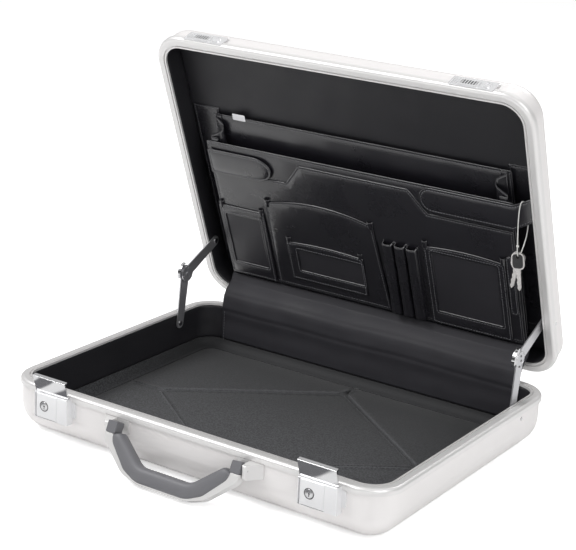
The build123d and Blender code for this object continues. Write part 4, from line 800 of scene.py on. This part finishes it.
LEFT_WINDOW = (-183, -137, 217, 284)
RIGHT_WINDOW = (89, 167, 205, 284)
SMALL_WINDOW = (-88, -3, 244, 273)
leather_panel("left_window_pocket_leather", rectangle(-191, -128, 205, 302), POCKET_FACE,
    ["window_pocket_left"], holes=[rectangle(*LEFT_WINDOW, 1)], seed=7, puff=0.7)
leather_panel("right_window_pocket_leather", arched(79, 177, 196, 302, 3.5), POCKET_FACE,
    ["window_pocket_right"], holes=[rectangle(*RIGHT_WINDOW, 1)], seed=8, puff=0.7)
leather_panel("small_window_pocket_leather", arched(-102, -0.5, 233, 287, 3), SMALL_POCKET_FACE,
    ["small_window_pocket"], holes=[rectangle(*SMALL_WINDOW, 1)], seed=10, puff=0.5, groove=2.2)
for number, (face, window) in enumerate(((POCKET_FACE, LEFT_WINDOW), (POCKET_FACE, RIGHT_WINDOW),
        (SMALL_POCKET_FACE, SMALL_WINDOW))):
    left, right, top, bottom = window
    lap = 2.4
    leather_panel(f"window_film_{number}", rectangle(left - lap, right + lap, top - lap, bottom + lap, 1),
        face + 1.15, ["window_films"] if number == 0 else [], 0.3, stitched=False, crumple=0.25,
        seed=12 + number, material=FILM, grid=8)

arch = [(-124 + 142 * i / 24, 189 - 10.75 * (1 - ((i - 12) / 12) ** 2) - 0.25 * i / 12) for i in range(25)]
leather_panel("centre_pocket_leather", arch + [(27, 300), (-124, 300)], POCKET_FACE, ["centre_pocket"],
    seed=14, crumple=0.5)


def pen_loops():
    """Row of three raised pen loops made of one strip, with slanting tops."""
    corners = [(28.6, 5.6)]
    for middle in (35.5, 50.5, 65.5):
        corners += [(middle - 6.2, 5.5), (middle - 6, 0.2), (middle - 1, -0.9), (middle + 5, -0.2),
            (middle + 6.3, 2.8), (middle + 6, 5.5)]
    corners.append((72.6, 5.6))
    radii = (0.35, 1.6, 2.2, 2, 1.6, 0.6) * 3
    lid_sheet("pen_loop_leather", rounded_path(corners, radii, 0.8),
        lambda place: 203.5 + 1.8 * (max(0, 5.6 - place.y) / 6.5), 300, 33,
        lambda x, y: 0.3 * wrinkle(x * 2, y, 18, 17), ["pen_loops"])


pen_loops()
leather_panel("rear_tab_leather", rectangle(178.2, 188.2, 188, 264, 4.5), POCKET_FACE, ["rear_pocket_tab"],
    seed=15, puff=0.2, groove=1.8, crumple=0.15)
leather_panel("blank_tag", rectangle(-158.5, -141.5, 88.5, 96.5, 1), 21.9, ["paper_tag"], 0.4,
    stitched=False, crumple=0.3, seed=16, material=CARD, grid=3)


# ---- stitches
STITCH_PITCH = 3.3
STITCH_SIDES = 6


def thread_stitch():
    """One stitch as a small spindle along Z."""
    rings = []
    for z, radius in ((-1.2, 0.14), (-0.8, 0.3), (0, 0.37), (0.8, 0.3), (1.2, 0.14)):
        rings.append([(radius * cos(a), radius * sin(a), z) for a in circle(STITCH_SIDES)])
    points, faces = joined_rings(rings, capped=True)
    return new_mesh("thread_stitch", [[c * MM for c in p] for p in points], faces)


def stitch_tree():
    """Puts a stitch at every pitch along curves, turned along them and slightly uneven in size."""
    tree = bpy.data.node_groups.new("stitch_rows", "GeometryNodeTree")
    kinds = {"Geometry": "Geometry", "Pitch": "Float", "Stitch": "Object", "Thread": "Material",
        "Seed": "Int"}
    sockets = {}
    for name, kind in kinds.items():
        socket = tree.interface.new_socket(name, in_out="INPUT", socket_type=f"NodeSocket{kind}")
        sockets[name] = socket.identifier
    tree.interface.new_socket("Geometry", in_out="OUTPUT", socket_type="NodeSocketGeometry")
    source = tree.nodes.new("NodeGroupInput").outputs
    inputs = {"Curve": source["Geometry"], "Length": source["Pitch"]}
    rows = add_node(tree, "GeometryNodeCurveToPoints", inputs, mode="LENGTH")
    aligned = add_node(tree, "FunctionNodeAlignRotationToVector", {"Vector": rows.outputs["Tangent"]},
        axis="Z")
    stitch = add_node(tree, "GeometryNodeObjectInfo", {"Object": source["Stitch"]})
    size = add_node(tree, "FunctionNodeRandomValue", {"Min": 0.88, "Max": 1.08, "Seed": source["Seed"]},
        data_type="FLOAT")
    placed = add_node(tree, "GeometryNodeInstanceOnPoints", {
        "Points": rows.outputs["Points"], "Instance": stitch.outputs["Geometry"],
        "Rotation": aligned.outputs["Rotation"], "Scale": size.outputs["Value"]})
    real = add_node(tree, "GeometryNodeRealizeInstances", {"Geometry": placed.outputs["Instances"]})
    coloured = add_node(tree, "GeometryNodeSetMaterial", {"Geometry": real.outputs["Geometry"],
        "Material": source["Thread"]})
    add_node(tree, "NodeGroupOutput", {"Geometry": coloured.outputs["Geometry"]})
    return tree, sockets


def new_curve(name, kind, rows):
    """Curve in space with one spline through each row of points."""
    curve = bpy.data.curves.new(name, "CURVE")
    curve.dimensions = "3D"
    for row in rows:
        spline = curve.splines.new(kind)
        spline.points.add(len(row) - 1)
        for point, place in zip(spline.points, row):
            point.co = (*place, 1)
    return curve


def sew(body):
    """Runs the stitch tree over a body's rows of points and keeps the result as one mesh."""
    name = f"{body}_stitches"
    holder = new_object(name, new_curve(name, "POLY", STITCH_LINES[body]))
    stitch = thread_stitch()
    tree, sockets = stitch_tree()
    modifier = holder.modifiers.new("rows", "NODES")
    modifier.node_group = tree
    for label, value in (("Pitch", STITCH_PITCH * MM), ("Stitch", stitch), ("Thread", THREAD), ("Seed", 4)):
        modifier[sockets[label]] = value
    bpy.context.view_layer.update()
    mesh = bpy.data.meshes.new_from_object(holder.evaluated_get(bpy.context.evaluated_depsgraph_get()))
    mesh.name = name
    holder.modifiers.remove(modifier)
    bpy.data.objects.remove(holder)
    bpy.data.objects.remove(stitch)
    piece = new_object(name, mesh)
    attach(piece, body)


sew("lid")
sew("base")


# ---- small fittings
def ring_piece(name, centre, inner, outer, proud, material, body, facing):
    """Flat ring standing proud of a plate, given by its centre and the way it faces."""
    facing = Vector(facing).normalized()
    side = facing.orthogonal().normalized()
    up = facing.cross(side)
    sunk, around = -0.3, 40
    rings = []
    for radius, height in ((inner, sunk), (inner, proud), ((inner + outer) / 2, proud + 0.12), (outer, proud),
            (outer, sunk)):
        rings.append([centre * MM + (side * cos(a) * radius + up * sin(a) * radius
            + facing * height) * MM for a in circle(around)])
    points, faces = joined_rings(rings, closed=True)
    return new_piece(name, points, [f[::-1] for f in faces], material, body, ())


# Soft sleeve on the handle
HANDLE_PIVOT = Vector((0, FRONT_Y - 22, BASE_DEPTH - 13))
HANDLE_DROOP = radians(65)
GRIP_OUTER = ((70.6, 6.6), (67, 14), (46.5, 34.8), (30, 42.3))
GRIP_INNER = ((62, 3.4), (37.5, 22.5), (31, 28))
GRIP_HALF_THICKNESS = 7.7
GRIP_WIDER = 3.5
GRIP_OUTWARDS = 0.12


def handle_point(x, reach, up):
    """Metres for a place on the hanging handle: reach runs out from the pivots, up off its flat side."""
    out = Vector((0, -cos(HANDLE_DROOP), -sin(HANDLE_DROOP)))
    off = Vector((0, sin(HANDLE_DROOP), -cos(HANDLE_DROOP)))
    return (HANDLE_PIVOT + Vector((x, 0, 0)) + out * reach + off * up) * MM


def grip_line(half, radii, count):
    """Both halves of a line on the grip, its corners rounded, as evenly spread points."""
    path = rounded_path(half + tuple((-x, reach) for x, reach in reversed(half)), radii, 1)
    runs = np.cumsum([0] + [(b - a).length for a, b in zip(path, path[1:])])
    at = np.linspace(0, runs[-1], count)
    return np.stack([np.interp(at, runs, [p[axis] for p in path]) for axis in (0, 1)], 1)


def rounded(value, power=0.72):
    return copysign(abs(value) ** power, value)


def grip_sleeve(count=72, around=28):
    """Rubber sleeve with a rounded section, lofted between the frame and the hand's side."""
    outer = grip_line(GRIP_OUTER, (6, 16, 30, 30, 16, 6), count)
    inner = grip_line(GRIP_INNER, (10, 16, 16, 10), count)
    rings = []
    for number, (near, far) in enumerate(zip(inner, outer)):
        from_end = min(number, count - 1 - number)
        swell = (0.86, 0.95, 0.99)[from_end] if from_end < 3 else 1
        wide_by = 1 + GRIP_WIDER / np.hypot(*(far - near))
        middle, half = (near + far) / 2 + (far - near) * GRIP_OUTWARDS, (far - near) / 2 * swell * wide_by
        rings.append([handle_point(*(middle + half * rounded(cos(a))),
            GRIP_HALF_THICKNESS * swell * rounded(sin(-a))) for a in circle(around)])
    points, faces = joined_rings(rings, capped=True)
    return new_piece("grip_sleeve", points, faces, GRIP, "handle", ["handle_grip"])


grip_sleeve()

# Rings of the locks, and the rims and rivets of the stays' elbows
for side, label in ((-1, "left"), (1, "right")):
    ring_piece(f"lock_ring_{label}", Vector((side * LATCH_X - 8.5, FRONT_Y - 20, 40.5)), 4.75, 5.5, 0.15,
        DARK_FITTING_AND_SHADE, f"slide_{label}", (0, -1, 0))
    elbow = Vector((side * 216.3, FRONT_Y + 273.7, BASE_DEPTH + 46.8))
    arm = f"stay_lower_{label}"
    ring_piece(f"elbow_rim_{label}", elbow, 8, 9.2, 0.2, CHROME, arm, (side, 0, 0))
    for number, (back, up) in enumerate(((1.2, 3.6), (2, -1.6), (-1, -7.4))):
        ring_piece(f"elbow_rivet_{label}_{number}", elbow + Vector((0, back, up)), 0.3, 1.25, 0.3, DARK_FITTING_AND_SHADE,
            arm, (side, 0, 0))

KEEPER_FACE = -12.5


def keeper_recess_shade(label, middle):
    """Dark ground between the ribs of a keeper, painted shade in its recesses."""
    left, right, low, high = middle - 9, middle + 9, 5.1, 12.1
    points, faces = joined_rings([[lid_point(x, KEEPER_FACE + depth, z) for x, z in
        ((left, low), (right, low), (right, high), (left, high))] for depth in (0.1, -0.15)], capped=True)
    return new_piece(f"keeper_ground_{label}", points, faces, DARK_FITTING_AND_SHADE, "lid", (), smooth=False)


# Painted shade in the recesses of both keepers
keeper_recess_shade("left", -LATCH_X - 4)
keeper_recess_shade("right", LATCH_X - 4)


def pleat(name, x, y, z, width, height=10):
    """Folded corner of a pocket's side, standing up at its mouth."""
    columns = []
    for i in range(13):
        way = Vector((-cos(pi * i / 12), sin(pi * i / 12)))
        normal = -lid_way(-way.x, way.y)
        column = []
        for share in [k / 5 for k in range(6)]:
            pinch = 1 - 0.25 * share
            column.append((lid_point(x - way.x * width / 2 * pinch, y + height * share,
                z - way.y * width * 0.45 * pinch), normal))
        columns.append(column)
    return strip_piece(name, columns, 0.5, "lid")


for number, place in enumerate(((-120, 183.5, 5.5, 7), (15, 183, 5.5, 7), (-99, 229, 3.8, 5.5),
        (-4, 229.5, 3.8, 5.5), (-187, 200, 5.5, 6), (-132, 200.5, 5.5, 6),
        (81.5, 191.5, 5.5, 6), (174.5, 191.5, 5.5, 6))):
    pleat(f"pocket_pleat_{number}", *place)


# ---- keys on their cord
KEY_HOLE = lid_point(203, 171.8, -10.8)
KNOT = KEY_HOLE + Vector((0, -4.6, 12)) * MM
CORD_ROUTE = [
    KNOT + Vector((0, 0, 0.5)) * MM,
    lid_point(202, 115.7, 0.6),
    lid_point(206.5, 113.7, 9.4),
    lid_point(207.5, 146.8, 9.9),
    KEY_HOLE + Vector((0.3, 4.6, 0.9)) * MM,
    KEY_HOLE + Vector((0, -4.6, 0.9)) * MM,
    KNOT - Vector((0, 0, 0.5)) * MM,
]


def key_cord():
    curve = new_curve("key_loop", "NURBS", [CORD_ROUTE])
    curve.bevel_depth = 0.6 * MM
    curve.bevel_resolution = 3
    curve.resolution_u = 12
    curve.use_fill_caps = True
    spline = curve.splines[0]
    spline.order_u = 3
    spline.use_endpoint_u = True
    curve.materials.append(CORD)
    loop = new_object("key_loop", curve)
    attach(loop, "lid")
    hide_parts("key_cord")
    return loop


def knot(rows=12, turns=16):
    """Small lumpy knot where the loop's two ends meet."""
    rings = []
    for polar in [pi * r / rows for r in range(rows + 1)]:
        ring = []
        for around in circle(turns):
            way = Vector((sin(polar) * cos(around), sin(polar) * sin(around), cos(polar)))
            ring.append(KNOT + way * (1.45 + 0.12 * sin(3 * around + 4 * polar)) * MM)
        rings.append(ring)
    points, faces = joined_rings(rings)
    return new_piece("key_knot", points, [[a, d, c, b] for a, b, c, d in faces], CORD, "lid", [])


loop = key_cord()
tie = knot()


# ---- stage, light and camera
def lamp(name, place, target, size, power):
    light = bpy.data.lights.new(name, "AREA")
    light.shape = "RECTANGLE"
    light.size, light.size_y = size
    light.energy = power
    lit = new_object(name, light)
    lit.location = place
    lit.rotation_euler = (Vector(target) - Vector(place)).to_track_quat("-Z", "Y").to_euler()
    return lit


def pale_floor(half=6):
    """White floor; metal sees darker streaks, a painted reflection of shade, in a band of it along the front
    of the case.
    """
    material, tree, shader, where = new_material("studio_floor")
    streaks = add_node(tree, "TexWave", {"Vector": where, "Scale": 9, "Distortion": 5,
        "Detail": 2, "Detail Scale": 1.5}, bands_direction="DIAGONAL")
    streak = map_range(tree, streaks.outputs["Fac"], 0.35, 0.6, 0, 1)
    from_front = math_node(tree, "ABSOLUTE", math_node(tree, "ADD", split_xyz(tree, where)["Y"], 0.23))
    band = map_range(tree, from_front, 0.03, 0.05, 1, 0)
    seen = tree.nodes.new("ShaderNodeLightPath").outputs
    # Painted reflection: the streaks darken the floor for glossy rays only
    painted_dark_reflection = math_node(tree, "MULTIPLY", seen["Is Glossy Ray"], math_node(tree, "MULTIPLY", streak, band))
    set_surface(tree, shader, painted_dark_reflection, (0.92, 0.92, 0.92), (0.16, 0.16, 0.17), Roughness=0.85,
        Emission_Color=(1, 1, 1, 1),
        Emission_Strength=math_node(tree, "MULTIPLY", seen["Is Camera Ray"], 0.5))
    corners = [(-half, -half, 0), (half, -half, 0), (half, half, 0), (-half, half, 0)]
    return new_mesh("studio_floor", corners, [(0, 1, 2, 3)], material, False)


pale_floor()
lamp("key_light", (-1.1, -1, 1.9), (0, 0, 0.15), (1.4, 1), 33)
lamp("fill_light", (1.7, -0.9, 1.2), (0, 0, 0.2), (1.2, 1.2), 15)
lamp("back_light", (0, 1.6, 1.9), (0, 0, 0.1), (1.4, 0.5), 14)

world = bpy.data.worlds.new("white_studio")
world.use_nodes = True
scene = bpy.context.scene
scene.world = world
tree = world.node_tree
tree.nodes.clear()


def glow(colour, strength):
    return add_node(tree, "Background", {"Color": colour, "Strength": strength}).outputs[0]


def grey_ramp(*stops):
    """Greys by height, given as (position, grey)."""
    ramp = add_node(tree, "ValToRGB", {"Fac": way["Z"]})
    elements = ramp.color_ramp.elements
    for element, (position, grey) in zip(elements, (stops[0], stops[-1])):
        element.position, element.color = position, (grey, grey, grey, 1)
    for position, grey in stops[1:-1]:
        elements.new(position).color = (grey, grey, grey, 1)
    return ramp.outputs["Color"]


def mixed(factor, first, second):
    return add_node(tree, "MixShader", {0: factor, 1: first, 2: second}).outputs[0]


# Metal sees a studio with a darker room round its middle; the camera sees plain white
way = split_xyz(tree, add_node(tree, "TexCoord").outputs["Generated"])
room = grey_ramp((0.02, 0.62), (0.14, 0.1), (0.34, 0.07), (0.46, 0.7), (0.62, 0.66))
sky = grey_ramp((0.15, 0.73), (0.8, 0.36))
seen = tree.nodes.new("ShaderNodeLightPath").outputs
surroundings = mixed(seen["Is Glossy Ray"], glow(sky, 1), glow(room, 0.9))
add_node(tree, "OutputWorld", {"Surface": mixed(seen["Is Camera Ray"], surroundings, glow((1, 1, 1, 1), 1))})

scene.view_settings.view_transform = "Standard"

camera = bpy.data.cameras.new("photo_view")
camera.lens = 105.61
camera.sensor_width = 36
camera.sensor_fit = "HORIZONTAL"
eye = new_object("photo_view", camera)
right, up, forward = (Vector((0.8286, 0.5578, 0.0487)), Vector((-0.208, 0.2259, 0.9518)),
    Vector((-0.5198, 0.7987, -0.3032)))
turn = Matrix((right, up, -forward)).transposed()
eye.matrix_world = Matrix.Translation((0.9024, -1.3873, 0.7016)) @ turn.to_4x4()
scene.camera = eye
